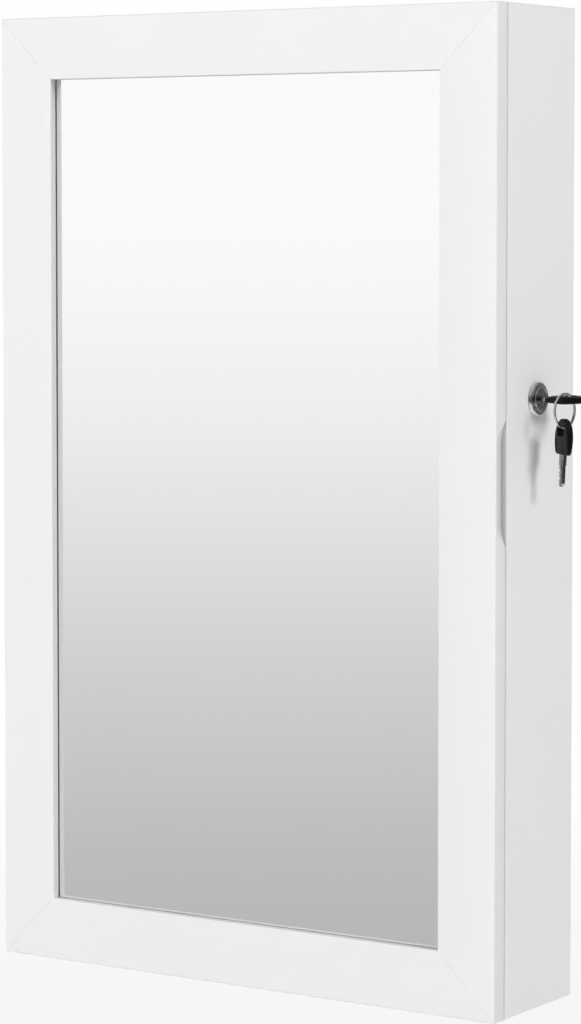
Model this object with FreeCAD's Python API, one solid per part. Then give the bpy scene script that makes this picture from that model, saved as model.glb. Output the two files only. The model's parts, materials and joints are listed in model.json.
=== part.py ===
import FreeCAD, Part
import math
import os

# A wall-hung jewelry cabinet. Its door is a framed mirror, and a cam lock sits in its right side.
# Millimetres: X runs to the right, Y into the wall and Z up. The origin lies on the wall plane,
# midway between the two screws that the cabinet hangs from.

point = FreeCAD.Vector

# ---- driving dimensions ----

# Cabinet as a whole
width = 365.0
height = 600.0
depth = 93.0
hang_drop = 50.0  # from the top down to the wall screws

# Case
panel = 12.0  # sides, top and bottom
edge_round = 0.8  # softened outer edges of painted board
back_inset = 10.0  # from the wall plane to the back panel
back_thickness = 3.0
groove_depth = 4.5
lining_thickness = 2.0
dowel_radius = 3.0
dowel_in_side = 8.0
dowel_in_end = 16.0
dowel_from_wall = 24.0  # rear dowel of each pair
dowel_spacing = 40.0
bumper_radius = 4.0
bumper_play = 0.25  # left between a bumper and the closed door
bumper_from_end = 18.0
bumper_above_middle = 60.0

# Batten and keyhole plates that it hangs by
batten_height = 45.0
keyhole_x = 145.0
keyhole_head_radius = 4.5
keyhole_neck_radius = 2.25
keyhole_drop = 9.0
hanger_width = 18.0
hanger_height = 42.0
hanger_thickness = 1.5
hanger_middle = -4.5  # from the wall screw to the plate's middle
hanger_corner = 5.0
hanger_screw_spacing = 34.0
hanger_pocket_radius = 6.5
hanger_pocket_depth = 5.5

# Door
door_thickness = 12.0
door_gap = 1.2  # one hinge leaf and its play
frame_width = 39.0
frame_round = 1.2
lip_depth = 5.2  # how far the frame stands in front of the mirror's tape
rebate_width = 7.5
mitre_groove = 0.3
tape_thickness = 0.8
tape_setback = 1.2
tape_width = 5.0
glass_thickness = 3.0
glass_play = 0.75
glass_arris = 0.6
door_lining_overlap = 6.0
door_lining_corner = 4.0
grip_height = 73.0
grip_above_bottom = 318.5  # middle of the finger grip
grip_radius = 9.3
grip_lip = 2.4  # left in front of the grip
grip_centre_out = 1.6  # from the door's edge to the cutter's centre
grip_edge_round = 0.5

# Flush hinges
hinge_length = 50.0
hinge_from_end = 85.0
leaf_thickness = 1.0
case_leaf_reach = 12.5
case_leaf_corner = 2.0
door_leaf_length = 26.0
door_leaf_corner = 1.0
window_reach = 9.3  # opening in the case's leaf that the door's leaf folds into
window_play = 0.5
knuckle_radius = 2.3
hinge_pin_radius = 1.25
hinge_pin_head = 0.8
hinge_pin_head_radius = 2.1
hinge_running_gap = 0.06
knuckle_gap = 0.3
hinge_play = 0.2
case_leaf_screw_spacing = 38.0
door_leaf_screw_spacing = 15.0
door_leaf_screw_inset = 3.3
door_screw_length = 9.0

# Lock
lock_behind_front = 48.0
lock_above_bottom = 367.0
flange_radius = 10.75
flange_thickness = 2.6
flange_taper = 0.9
flange_edge_round = 1.5
barrel_radius = 8.3
barrel_length = 18.5
plug_radius = 6.0
plug_head_radius = 7.6
plug_head_gap = 0.15
plug_seat = 0.6  # floor of the flange's recess, in front of the side panel
plug_stand = 4.0  # plug face in front of the side panel
plug_rim = 1.2
plug_rim_round = 0.6
plug_face_sunk = 0.3
lock_running_gap = 0.08
keyway_play = 0.2
keyway_spare = 0.8  # keyway deeper than the blade is long
nut_thickness = 3.6
nut_corner_radius = 12.6
cam_thickness = 2.0
cam_hub = 9.0
cam_tail = 6.2  # square end of the plug
cam_pin_reach = 22.0  # lock axis to the striker pin
cam_pin_radius = 2.0
cam_pin_play = 0.6
cam_lip = 4.4
cam_nose, cam_jaw, cam_heel = 15.0, 12.0, -27.0  # degrees either way from the striker pin
cam_neck, cam_back = -70.0, -290.0  # degrees at which the arm leaves the hub

# Striker on the door
striker_leg_neck = 8.0  # half heights of the leg beside its pin and at its end
striker_leg_nose = 6.0
striker_leg_bend = 3.0  # in front of the pin
striker_leg_tip = 5.0  # behind the pin
striker_corner = 1.5
striker_thickness = 1.5
striker_height = 30.0
striker_leg_inset = 12.5  # from the case's inner wall
striker_clearance = 1.5
striker_screw_spacing = 21.0
striker_pin_proud = 0.6
striker_pin_length = 8.6

# Keys and their ring
key_head_length = 21.3
key_head_width = 19.6
key_head_thickness = 5.6
key_head_corner = 2.2
key_waist = 9.0  # straight sides up to here, and then an elliptical top
key_belly = 10.5  # thickest here
dome_radius = 60.0
head_edge_round = 1.0
slot_edge_round = 1.2
panel_sunk = 0.35
panel_margin = 2.0
panel_length = 7.4
panel_width = 14.8
panel_corner = 2.0
key_shoulder = 6.2  # blade between the lock and the head
key_shoulder_width = 6.5
key_tang = 5.0  # part of the blade buried in the head
blade_width = 4.8
blade_thickness = 2.0
blade_length = 12.7  # part that goes into the lock
blade_tip = 2.0
notch_pitch = 2.4
notch_depths = (0.9, 1.5, 0.7, 1.2)  # from the tip
notch_floor = 0.7
blade_groove_depth = 0.5
blade_groove_ys = (0.4, 1.5)
ring_slot_length = 6.0
ring_slot_width = 9.0
ring_slot_corner = 1.2
ring_slot_web = 4.2  # head left beyond the slot
ring_radius = 10.1  # centre line
ring_wire = 0.75
ring_aside = 0.75  # wire's surface to the slot's end nearest the lock
ring_turn = 84.0  # degrees from +X to the ring's plane
ring_drop = 6.1  # ring's centre below the key in the lock
spare_turn = -38.4  # degrees from +X to the spare key's face
spare_lean = 2.5
spare_lean_turn = 123.6  # degrees from +X to the level line that it leans about
spare_play = 0.45

# Magnetic catch
catch_below_top = 34.0
catch_setback = 1.0
catch_width = 21.0
catch_depth = 12.0
catch_height = 26.0
catch_base_width = 14.0
catch_base_height = 48.0
catch_base_thickness = 2.5
catch_screw_spacing = 36.0
pole_thickness = 1.5
pole_height = 19.0
pole_reach = 14.0
catch_plate_width = 12.0
catch_plate_height = 30.0
catch_plate_thickness = 1.0
catch_base_corner = 5.0
catch_corner = 1.5
catch_plate_corner = 2.0
pole_inset = 2.0  # from the housing's inner face

# Countersunk screws: head radius, shank radius, length
hanger_screw = (3.1, 1.5, 9.0)
hinge_screw = (1.9, 1.0, door_screw_length)
striker_screw = (2.6, 1.3, door_screw_length + 0.5)
catch_plate_screw = (2.3, 1.3, door_screw_length)

# Pan-headed screws: head radius, head height, shank radius, length
plug_screw = (4.5, 2.4, 2.0, 5.5)
catch_screw = (2.7, 1.6, 1.4, 10.0)

# Inside of the case
divider_x = 48.0
divider_thickness = 8.0
fitting_setback = 5.8  # fittings stop this far behind the case front
shelf_thickness = 8.0
shelf_tops = (205.0, 110.0)  # above the cabinet's bottom
guard_height = 12.0
guard_thickness = 5.0
guard_lift = 16.0
guard_corner = 2.0
ring_roll_count = 6
ring_roll_radius = 6.9
ring_roll_pitch = 14.0
ring_tray_width = 200.0
ring_tray_wall = 4.0
ring_tray_floor = 3.0
ring_tray_drop = 8.0
ring_tray_depth = 22.0
earring_board_tops = (455.0, 405.0, 355.0)
earring_board_height = 26.0
earring_board_thickness = 3.5
earring_board_reach = 26.0  # in front of the lining
earring_slot_pitch = 12.0
earring_slot_radius = 1.0
earring_slot_length = 12.0
stud_hole_radius = 0.8
bracelet_rod_height = 288.0
bracelet_rod_radius = 5.0
bracelet_rod_reach = 30.0
rod_socket_radius = 10.0
rod_socket_length = 7.0
hook_count = 6
hook_wire = 1.2
hook_ball = 1.8
hook_in_rail = 7.0
hook_reach = 11.0
hook_bend = 4.0
hook_rise = 5.0
hook_rail_drop = 12.0
hook_rail_height = 20.0
hook_rail_depth = 12.0
hook_rail_corner = 2.5
bin_height = 50.0
bin_scoop = 14.0
bin_scoop_half_width = 38.0

# ---- planes worked out from them ----

half_width = width / 2
top_z = hang_drop
bottom_z = hang_drop - height
middle_z = (top_z + bottom_z) / 2
front_y = -depth
door_back_y = front_y + door_thickness
case_front_y = door_back_y + door_gap
inner_x = half_width - panel
inner_top_z = top_z - panel
inner_bottom_z = bottom_z + panel
back_front_y = -back_inset - back_thickness
lining_y = back_front_y - lining_thickness
fitting_front_y = case_front_y + fitting_setback
divider_left_x = divider_x - divider_thickness / 2
divider_right_x = divider_x + divider_thickness / 2
hinge_x = -half_width - knuckle_radius - hinge_play
hinge_y = (door_back_y + case_front_y) / 2
lock_centre = point(half_width, front_y + lock_behind_front, bottom_z + lock_above_bottom)
grip_z = bottom_z + grip_above_bottom
slot_far_x = key_shoulder + key_head_length - ring_slot_web


# ---- general shapes ----


def span(low, size):
    return low, low + size


def around(centre, size):
    return centre - size / 2, centre + size / 2


def block(x_span, y_span, z_span):
    sizes = [high - low for low, high in (x_span, y_span, z_span)]
    return Part.makeBox(*sizes, point(x_span[0], y_span[0], z_span[0]))


def round_bar(start, end, radius):
    along = end - start
    return Part.makeCylinder(radius, along.Length, start, along)


def turned(profile, base, axis, radii=None):
    """A solid of revolution: the profile lists (distance along the axis, radius)."""
    corners = [point(radius, 0, along) for along, radius in profile]
    outline = rounded_outline(corners, radii) if radii else Part.makePolygon(corners + corners[:1])
    solid = Part.Face(outline).revolve(point(0, 0, 0), point(0, 0, 1), 360)
    return placed(solid, base, axis)


def placed(shape, position, outward):
    """A copy whose own +Z points outward from the given position."""
    copy = shape.copy()
    copy.Placement = FreeCAD.Placement(position, FreeCAD.Rotation(point(0, 0, 1), outward))
    return copy


def rounded_outline(corners, radii):
    """A closed flat wire through the corners, each one replaced by an arc of its own radius."""
    count = len(corners)
    arcs = []
    for index, (corner, radius) in enumerate(zip(corners, radii)):
        to_last = (corners[index - 1] - corner).normalize()
        to_next = (corners[(index + 1) % count] - corner).normalize()
        half_angle = to_last.getAngle(to_next) / 2
        reach = radius / math.tan(half_angle)
        inward = (to_last + to_next).normalize() if radius else point(0, 0, 0)
        middle = corner + inward * (radius / math.sin(half_angle) - radius)
        arcs.append((corner + to_last * reach, middle, corner + to_next * reach))
    edges = []
    for index, (start, middle, end) in enumerate(arcs):
        if radii[index]:
            edges.append(Part.Arc(start, middle, end).toShape())
        following = arcs[(index + 1) % count][0]
        if (following - end).Length > 1e-6:
            edges.append(Part.LineSegment(end, following).toShape())
    return Part.Wire(edges)


def prism(corners, radii, travel):
    return Part.Face(rounded_outline(corners, radii)).extrude(travel)


def rounded_rectangle(u_span, v_span, radius, place, travel):
    """A plate with rounded corners; place turns its own (u, v) into a point in space."""
    (u0, u1), (v0, v1) = u_span, v_span
    corners = [place(u0, v0), place(u1, v0), place(u1, v1), place(u0, v1)]
    return prism(corners, [radius] * 4, travel)


def long_slot(start, end, radius, travel):
    """A slot cutter: two round ends and what lies between them."""
    along = (end - start).normalize()
    aside = along.cross(travel).normalize() * radius
    corners = [start + aside, end + aside, end - aside, start - aside]
    body = Part.Face(Part.makePolygon(corners + corners[:1])).extrude(travel)
    ends = [Part.makeCylinder(radius, travel.Length, centre, travel) for centre in (start, end)]
    return body.multiFuse(ends).removeSplitter()


def softened(shape, radius, wanted):
    """Round off the edges that the test wants, which it is given with their starting points."""
    edges = [edge for edge in shape.Edges if wanted(edge.valueAt(edge.FirstParameter), edge)]
    return shape.makeFillet(radius, edges)


def compound(shapes):
    return Part.makeCompound(list(shapes))


def middle_of(low, high):
    return (low + high) / 2


def on_door_back(x, z):
    return point(x, door_back_y, z)


# ---- screws ----


def driver_recess(across, deep):
    arms = [
        block(around(0, across), around(0, across / 4), (-deep, 1.0)),
        block(around(0, across / 4), around(0, across), (-deep, 1.0)),
    ]
    return arms[0].fuse(arms[1])


def countersunk_screw(head_radius, shank_radius, length):
    """Head flush at z = 0 and shank downwards, as a blank and with its driver recess."""
    cone = head_radius - shank_radius
    tip = 1.5 * shank_radius
    profile = [
        (0, 0),
        (0, head_radius),
        (-cone, shank_radius),
        (tip - length, shank_radius),
        (-length, 0.3),
        (-length, 0),
    ]
    blank = turned(profile, point(0, 0, 0), point(0, 0, 1))
    return blank, blank.cut(driver_recess(head_radius * 1.2, cone * 0.7))


def pan_screw(head_radius, head_height, shank_radius, length):
    """Domed head standing on z = 0 and shank downwards, as a blank and with its recess."""
    profile = [
        (head_height, 0),
        (head_height, head_radius * 0.45),
        (head_height * 0.75, head_radius * 0.85),
        (head_height * 0.3, head_radius),
        (0, head_radius),
        (0, shank_radius),
        (-length, shank_radius),
        (-length, 0),
    ]
    blank = turned(profile, point(0, 0, 0), point(0, 0, 1))
    recess = driver_recess(head_radius * 1.1, head_height * 0.6)
    recess.translate(point(0, 0, head_height))
    return blank, blank.cut(recess)


def screws_at(kind, seats, outward):
    """The screws themselves, and the blanks that cut their holes."""
    blank, finished = kind
    screws = [placed(finished, seat, outward) for seat in seats]
    holes = [placed(blank, seat, outward) for seat in seats]
    return screws, holes


# ---- case ----


def dowels():
    """Four dowels into each side panel, two at its top and two at its bottom."""
    pegs = []
    for side in (-1, 1):
        for z in (middle_of(inner_top_z, top_z), middle_of(bottom_z, inner_bottom_z)):
            for y in (-dowel_from_wall, -dowel_from_wall - dowel_spacing):
                start = point(side * (inner_x + dowel_in_side), y, z)
                end = point(side * (inner_x - dowel_in_end), y, z)
                pegs.append(round_bar(start, end, dowel_radius))
    return pegs


def side_panel(side, cuts):
    """A full-height side with a stopped groove for the back panel."""
    x_span = sorted((side * inner_x, side * half_width))
    board = block(x_span, (case_front_y, 0), (bottom_z, top_z))
    outer = side * half_width

    def outer_edge(start, edge):
        on_outer_face = abs(start.x - outer) < 1e-6
        ends_in_face = abs(edge.valueAt(edge.LastParameter).x - outer) < 1e-6
        return on_outer_face and ends_in_face

    board = softened(board, edge_round, outer_edge)
    groove_x = sorted((side * inner_x, side * (inner_x + groove_depth)))
    groove_z = (inner_bottom_z - groove_depth, inner_top_z + groove_depth)
    board = board.cut(block(groove_x, (back_front_y, -back_inset), groove_z))
    return board.cut(compound(cuts))


def end_panel(z_span, inner_z, outward, cuts):
    """Top or bottom panel between the sides, grooved along its inner face."""
    board = block((-inner_x, inner_x), (case_front_y, 0), z_span)
    groove_z = sorted((inner_z, inner_z + outward * groove_depth))
    board = board.cut(block((-inner_x, inner_x), (back_front_y, -back_inset), groove_z))
    return board.cut(compound(cuts))


def case_panels(lock_hole, hinge_holes, catch_holes, bumper_seats):
    pegs = dowels()
    back = block(
        around(0, 2 * (inner_x + groove_depth)),
        (back_front_y, -back_inset),
        (inner_bottom_z - groove_depth, inner_top_z + groove_depth),
    )
    lining = block((-inner_x, inner_x), (lining_y, back_front_y), (inner_bottom_z, inner_top_z))
    return {
        "side_panel_left": side_panel(-1, pegs + hinge_holes),
        "side_panel_right": side_panel(1, pegs + [lock_hole] + catch_holes),
        "top_panel": end_panel((inner_top_z, top_z), inner_top_z, 1, pegs),
        "bottom_panel": end_panel((bottom_z, inner_bottom_z), inner_bottom_z, -1, pegs),
        "case_dowels": compound(pegs),
        "back_panel": back,
        "back_lining": lining,
        "door_bumpers": compound(bumper_seats),
    }


def bumpers():
    """Three soft dots on the case's front edge, that the closed door comes to rest near."""
    thickness = door_gap - bumper_play
    x = half_width - panel / 2
    heights = (top_z - bumper_from_end, middle_z + bumper_above_middle, bottom_z + bumper_from_end)
    profile = [(0, 0), (0, bumper_radius), (thickness, bumper_radius), (thickness, 0)]
    rounding = [0, 0, thickness * 0.6, 0]
    forward = point(0, -1, 0)
    return [turned(profile, point(x, case_front_y, z), forward, rounding) for z in heights]


# ---- hanging hardware on the back ----


def on_wall(x, z):
    return point(x, 0, z)


def hanging_hardware():
    """A batten flush with the wall plane, carrying two recessed keyhole plates."""
    batten = block((-inner_x, inner_x), (-back_inset, 0), around(0, batten_height))
    kind = countersunk_screw(*hanger_screw)
    inward = point(0, -hanger_thickness, 0)
    pocket = point(0, -hanger_thickness - hanger_pocket_depth, 0)
    plates = {}
    all_screws = []
    for side, word in ((-1, "left"), (1, "right")):
        x = side * keyhole_x
        hook, entry = point(x, 0, 0), point(x, 0, -keyhole_drop)
        plate = rounded_rectangle(
            around(x, hanger_width), around(hanger_middle, hanger_height), hanger_corner, on_wall, inward
        )
        batten = batten.cut(plate)
        batten = batten.cut(long_slot(entry, hook, hanger_pocket_radius, pocket))
        keyhole = long_slot(entry, hook, keyhole_neck_radius, inward)
        keyhole = keyhole.fuse(Part.makeCylinder(keyhole_head_radius, hanger_thickness, entry, inward))
        seats = [point(x, 0, z) for z in around(hanger_middle, hanger_screw_spacing)]
        screws, holes = screws_at(kind, seats, point(0, 1, 0))
        plates["keyhole_plate_" + word] = plate.cut(keyhole).cut(compound(holes))
        batten = batten.cut(compound(holes))
        all_screws += screws
    return {"hanging_batten": batten, **plates, "keyhole_plate_screws": compound(all_screws)}


# ---- door frame ----


def frame_member(reach, length):
    """One mitred member, standing left of the frame's centre, with its lip towards the mirror."""
    outer = -reach
    inner = outer + frame_width
    rebate = inner - rebate_width
    lip_y = front_y + lip_depth
    profile = [
        point(outer, front_y, 0),
        point(inner, front_y, 0),
        point(inner, lip_y, 0),
        point(rebate, lip_y, 0),
        point(rebate, door_back_y, 0),
        point(outer, door_back_y, 0),
    ]
    radii = [frame_round, frame_round * 0.6, 0, 0, 0, frame_round * 0.5]
    bar = prism(profile, radii, point(0, 0, length))
    bar.translate(point(0, 0, -length / 2))
    for end in (-1, 1):
        tip = end * length / 2
        waste = [
            point(outer, front_y - 1, tip),
            point(inner + 1, front_y - 1, tip),
            point(inner + 1, front_y - 1, tip - end * (frame_width + 1)),
        ]
        bar = bar.cut(prism(waste, [0, 0, 0], point(0, door_thickness + 2, 0)))
        bar = bar.cut(mitre_groove_cutter(outer, tip, end))
    return bar


def mitre_groove_cutter(outer, tip, end):
    """A fine V along the front of the mitre, as left where two painted members meet."""
    start = point(outer - 1, front_y, tip + end)
    finish = point(outer + frame_width + 1, front_y, tip - end * (frame_width + 1))
    along = finish - start
    aside = along.cross(point(0, 1, 0)).normalize() * mitre_groove
    rise = point(0, mitre_groove, 0)
    corners = [start + aside, start + rise, start - aside, start - rise]
    return Part.Face(Part.makePolygon(corners + corners[:1])).extrude(along)


def door_frame(hinge_holes, fitting_holes):
    centre = point(0, 0, middle_z)
    members = {}
    sides = (
        ("door_stile_left", half_width, height, 0),
        ("door_rail_top", height / 2, width, 90),
        ("door_stile_right", half_width, height, 180),
        ("door_rail_bottom", height / 2, width, 270),
    )
    for name, reach, length, angle in sides:
        member = frame_member(reach, length)
        member.rotate(point(0, 0, 0), point(0, 1, 0), angle)
        member.translate(centre)
        members[name] = member
    members["door_stile_left"] = members["door_stile_left"].cut(compound(hinge_holes))
    gripped = softened(members["door_stile_right"].cut(finger_grip()), grip_edge_round, rims_grip)
    members["door_stile_right"] = gripped.cut(compound(fitting_holes))
    return members


def finger_grip():
    """A round-ended cove along the door's rear right edge, leaving a thin lip in front."""
    centre_x = half_width + grip_centre_out
    centre_y = front_y + grip_lip + grip_radius
    low_z, high_z = around(grip_z, grip_height - 2 * grip_radius)
    low, high = point(centre_x, centre_y, low_z), point(centre_x, centre_y, high_z)
    ends = [Part.makeSphere(grip_radius, low), Part.makeSphere(grip_radius, high)]
    return round_bar(low, high, grip_radius).multiFuse(ends)


def rims_grip(start, edge):
    """Whether an edge is where the cove breaks out of the door's side."""
    box = edge.BoundBox
    low_z, high_z = around(grip_z, grip_height)
    return box.XMin > half_width - 0.01 and box.ZMin > low_z and box.ZMax < high_z


# ---- mirror pack ----


def mirror_pack():
    open_x = half_width - frame_width
    open_z = height / 2 - frame_width
    lip_y = front_y + lip_depth
    glass_y = lip_y + tape_thickness
    backing_y = glass_y + glass_thickness
    glass_x = open_x + rebate_width - glass_play
    glass_z = open_z + rebate_width - glass_play
    glass = block((-glass_x, glass_x), (glass_y, backing_y), around(middle_z, 2 * glass_z))
    front_edges = [edge for edge in glass.Edges if edge.BoundBox.YMax < glass_y + 0.01]
    backing = block((-glass_x, glass_x), (backing_y, door_back_y), around(middle_z, 2 * glass_z))
    lining = rounded_rectangle(
        around(0, 2 * (open_x + rebate_width + door_lining_overlap)),
        around(middle_z, 2 * (open_z + rebate_width + door_lining_overlap)),
        door_lining_corner,
        on_door_back,
        point(0, lining_thickness, 0),
    )
    strips = []
    tape_x = open_x + tape_setback
    tape_z = open_z + tape_setback
    tape_y = (lip_y, glass_y)
    for side in (-1, 1):
        upright = sorted((side * tape_x, side * (tape_x + tape_width)))
        level = sorted((middle_z + side * tape_z, middle_z + side * (tape_z + tape_width)))
        strips.append(block(upright, tape_y, around(middle_z, 2 * tape_z)))
        strips.append(block(around(0, 2 * (tape_x + tape_width)), tape_y, level))
    return {
        "mirror_glass": glass.makeChamfer(glass_arris, front_edges),
        "mirror_tape": compound(strips),
        "mirror_backing": backing,
        "door_lining": lining,
    }


# ---- hinges ----


def hinge_zs():
    return {"upper": top_z - hinge_from_end, "lower": bottom_z + hinge_from_end}


def hinge_tube(z_low, z_high):
    return round_bar(point(hinge_x, hinge_y, z_low), point(hinge_x, hinge_y, z_high), knuckle_radius)


def hinge_pin(low):
    """A pin with a flat-topped head at each end."""
    crown = hinge_pin_head_radius - hinge_pin_head / 2
    high = hinge_length + hinge_pin_head
    profile = [
        (-hinge_pin_head, 0),
        (-hinge_pin_head, crown),
        (-hinge_pin_head / 2, hinge_pin_head_radius),
        (0, hinge_pin_head_radius),
        (0, hinge_pin_radius),
        (hinge_length, hinge_pin_radius),
        (hinge_length, hinge_pin_head_radius),
        (high - hinge_pin_head / 2, hinge_pin_head_radius),
        (high, crown),
        (high, 0),
    ]
    return turned(profile, low, point(0, 0, 1))


def hinge_leaf(z, length, reach, y_span, corner):
    def on_leaf(x, along):
        return point(x, y_span[0], along)

    low, high = around(z, length)
    corners = [
        on_leaf(hinge_x, low),
        on_leaf(hinge_x + reach, low),
        on_leaf(hinge_x + reach, high),
        on_leaf(hinge_x, high),
    ]
    return prism(corners, [0, corner, corner, 0], point(0, y_span[1] - y_span[0], 0))


def hinge(word, z):
    """A flush hinge: the door's leaf lies inside a window in the case's leaf."""
    low_z, high_z = around(z, hinge_length)
    leaf_low, leaf_high = around(z, door_leaf_length)
    gap_low, gap_high = leaf_low - knuckle_gap, leaf_high + knuckle_gap
    case_y = (case_front_y - leaf_thickness, case_front_y)
    door_y = (door_back_y, door_back_y + leaf_thickness)
    window = block((hinge_x - 5, hinge_x + window_reach), (front_y, 0), (gap_low, gap_high))
    outer = hinge_leaf(z, hinge_length, case_leaf_reach, case_y, case_leaf_corner).cut(window)
    outer = outer.multiFuse([hinge_tube(low_z, gap_low), hinge_tube(gap_high, high_z)])
    inner = hinge_leaf(z, door_leaf_length, window_reach - window_play, door_y, door_leaf_corner)
    inner = inner.fuse(hinge_tube(leaf_low, leaf_high))
    low, high = point(hinge_x, hinge_y, low_z), point(hinge_x, hinge_y, high_z)
    outer = outer.cut(round_bar(low, high, hinge_pin_radius)).removeSplitter()
    inner = inner.cut(round_bar(low, high, hinge_pin_radius + hinge_running_gap)).removeSplitter()
    kind = countersunk_screw(*hinge_screw)
    case_x = -half_width + panel / 2
    case_seats = [point(case_x, case_y[0], seat) for seat in around(z, case_leaf_screw_spacing)]
    case_screws, case_holes = screws_at(kind, case_seats, point(0, -1, 0))
    door_x = -half_width + door_leaf_screw_inset
    door_seats = [point(door_x, door_y[1], seat) for seat in around(z, door_leaf_screw_spacing)]
    door_screws, door_holes = screws_at(kind, door_seats, point(0, 1, 0))
    nodes = {
        word + "_hinge_case_leaf": outer.cut(compound(case_holes)),
        word + "_hinge_door_leaf": inner.cut(compound(door_holes)),
        word + "_hinge_pin": hinge_pin(low),
    }
    return nodes, case_screws, case_holes, door_screws, door_holes


def hinges():
    nodes = {}
    case_screws, case_holes, door_screws, door_holes = [], [], [], []
    for word, z in hinge_zs().items():
        leaves, screws_in_case, holes_in_case, screws_in_door, holes_in_door = hinge(word, z)
        nodes.update(leaves)
        case_screws += screws_in_case
        case_holes += holes_in_case
        door_screws += screws_in_door
        door_holes += holes_in_door
    nodes["hinge_case_screws"] = compound(case_screws)
    nodes["hinge_door_screws"] = compound(door_screws)
    return nodes, case_holes, door_holes


# ---- cam lock ----


def beside(out, y=0.0, z=0.0):
    """A point by its distance out from the right side's face, measured about the lock's axis."""
    return lock_centre + point(out, y, z)


def cam_polar(degrees, radius, out):
    """A point on the cam: 0 degrees is up, where the lock is open, and it locks towards the front."""
    angle = math.radians(degrees)
    return beside(out, -radius * math.sin(angle), radius * math.cos(angle))


def cam_arc(start, end, radius, out):
    middle = (start + end) / 2
    ends = [cam_polar(degrees, radius, out) for degrees in (start, middle, end)]
    return Part.Arc(*ends).toShape()


def cam_line(first, second, out):
    return Part.LineSegment(cam_polar(*first, out), cam_polar(*second, out)).toShape()


def hook_cam(out):
    """A hooked arm whose curved mouth, centred on the lock, swallows the door's striker pin."""
    inner = cam_pin_reach - cam_pin_radius - cam_pin_play
    outer = cam_pin_reach + cam_pin_radius + cam_pin_play
    lip = outer + cam_lip
    mouth_depth = cam_pin_radius + cam_pin_play
    mouth_end = Part.Arc(
        cam_polar(0, inner, out),
        beside(out, mouth_depth, cam_pin_reach),
        cam_polar(0, outer, out),
    ).toShape()
    edges = [
        cam_arc(cam_nose, cam_heel, lip, out),
        cam_line((cam_heel, lip), (cam_neck, cam_hub), out),
        cam_arc(cam_neck, cam_back, cam_hub, out),
        cam_line((cam_back, cam_hub), (cam_jaw, inner), out),
        cam_arc(cam_jaw, 0, inner, out),
        mouth_end,
        cam_arc(0, cam_nose, outer, out),
        cam_line((cam_nose, outer), (cam_nose, lip), out),
    ]
    return Part.Face(Part.Wire(edges)).extrude(point(-cam_thickness, 0, 0))


def square_tail(start, end):
    """The plug's square end, which turns the cam."""
    x_span = (half_width + start, half_width + end)
    return block(x_span, around(lock_centre.y, cam_tail), around(lock_centre.z, cam_tail))


def lock_housing(rear):
    """A flange with a rounded edge and a recess for the plug's head, on a plain barrel."""
    plug_bore = plug_radius + lock_running_gap
    head_bore = plug_head_radius + plug_head_gap
    profile = [
        (0, barrel_radius),
        (0, flange_radius),
        (flange_thickness, flange_radius - flange_taper),
        (flange_thickness, head_bore),
        (plug_seat, head_bore),
        (plug_seat, plug_bore),
        (rear, plug_bore),
        (rear, barrel_radius),
    ]
    rounding = [0, 0.2, flange_edge_round, 0.3, 0, 0, 0, 0.6]
    return turned(profile, lock_centre, point(1, 0, 0), rounding)


def lock_plug(rear, tail_end):
    """The plug with its keyway, the hole that the cam's screw cuts in it, and that screw."""
    floor = plug_seat + lock_running_gap
    lip = plug_head_radius - plug_rim
    face = plug_stand - plug_face_sunk
    profile = [
        (floor, 0),
        (floor, plug_head_radius),
        (plug_stand, plug_head_radius),
        (plug_stand, lip),
        (face, lip - plug_face_sunk),
        (face, 0),
    ]
    rounding = [0, 0, plug_rim_round, 0.2, 0, 0]
    body = turned(profile, lock_centre, point(1, 0, 0), rounding)
    core = round_bar(beside(rear - lock_running_gap), beside(floor + 0.1), plug_radius)
    keyway = block(
        (half_width - blade_length - keyway_spare, half_width + plug_stand + 1),
        around(lock_centre.y, blade_width + 2 * keyway_play),
        around(lock_centre.z, blade_thickness + 2 * keyway_play),
    )
    blank, finished = pan_screw(*plug_screw)
    hole = placed(blank, beside(tail_end), point(-1, 0, 0))
    screw = placed(finished, beside(tail_end), point(-1, 0, 0))
    plug = body.multiFuse([core, square_tail(tail_end, rear)]).cut(keyway).cut(hole)
    return plug, screw


def lock_nut():
    corners = []
    for corner in range(6):
        turn = math.radians(60 * corner)
        y, z = nut_corner_radius * math.cos(turn), nut_corner_radius * math.sin(turn)
        corners.append(beside(-panel, y, z))
    nut = prism(corners, [1.0] * 6, point(-nut_thickness, 0, 0))
    return nut.cut(round_bar(beside(1 - panel), beside(-panel - nut_thickness - 1), barrel_radius))


def cam_lock():
    """Housing and nut stay on the case; plug, cam and cam screw turn together."""
    rear = -barrel_length
    tail_end = rear - lock_running_gap - cam_thickness
    plug, screw = lock_plug(rear, tail_end)
    tail = square_tail(tail_end, rear)
    side_hole = round_bar(beside(1), beside(-panel - 1), barrel_radius)
    nodes = {
        "lock_housing": lock_housing(rear),
        "lock_nut": lock_nut(),
        "lock_plug": plug,
        "lock_cam": hook_cam(rear - lock_running_gap).cut(tail),
        "cam_screw": screw,
    }
    return nodes, side_hole


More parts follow.
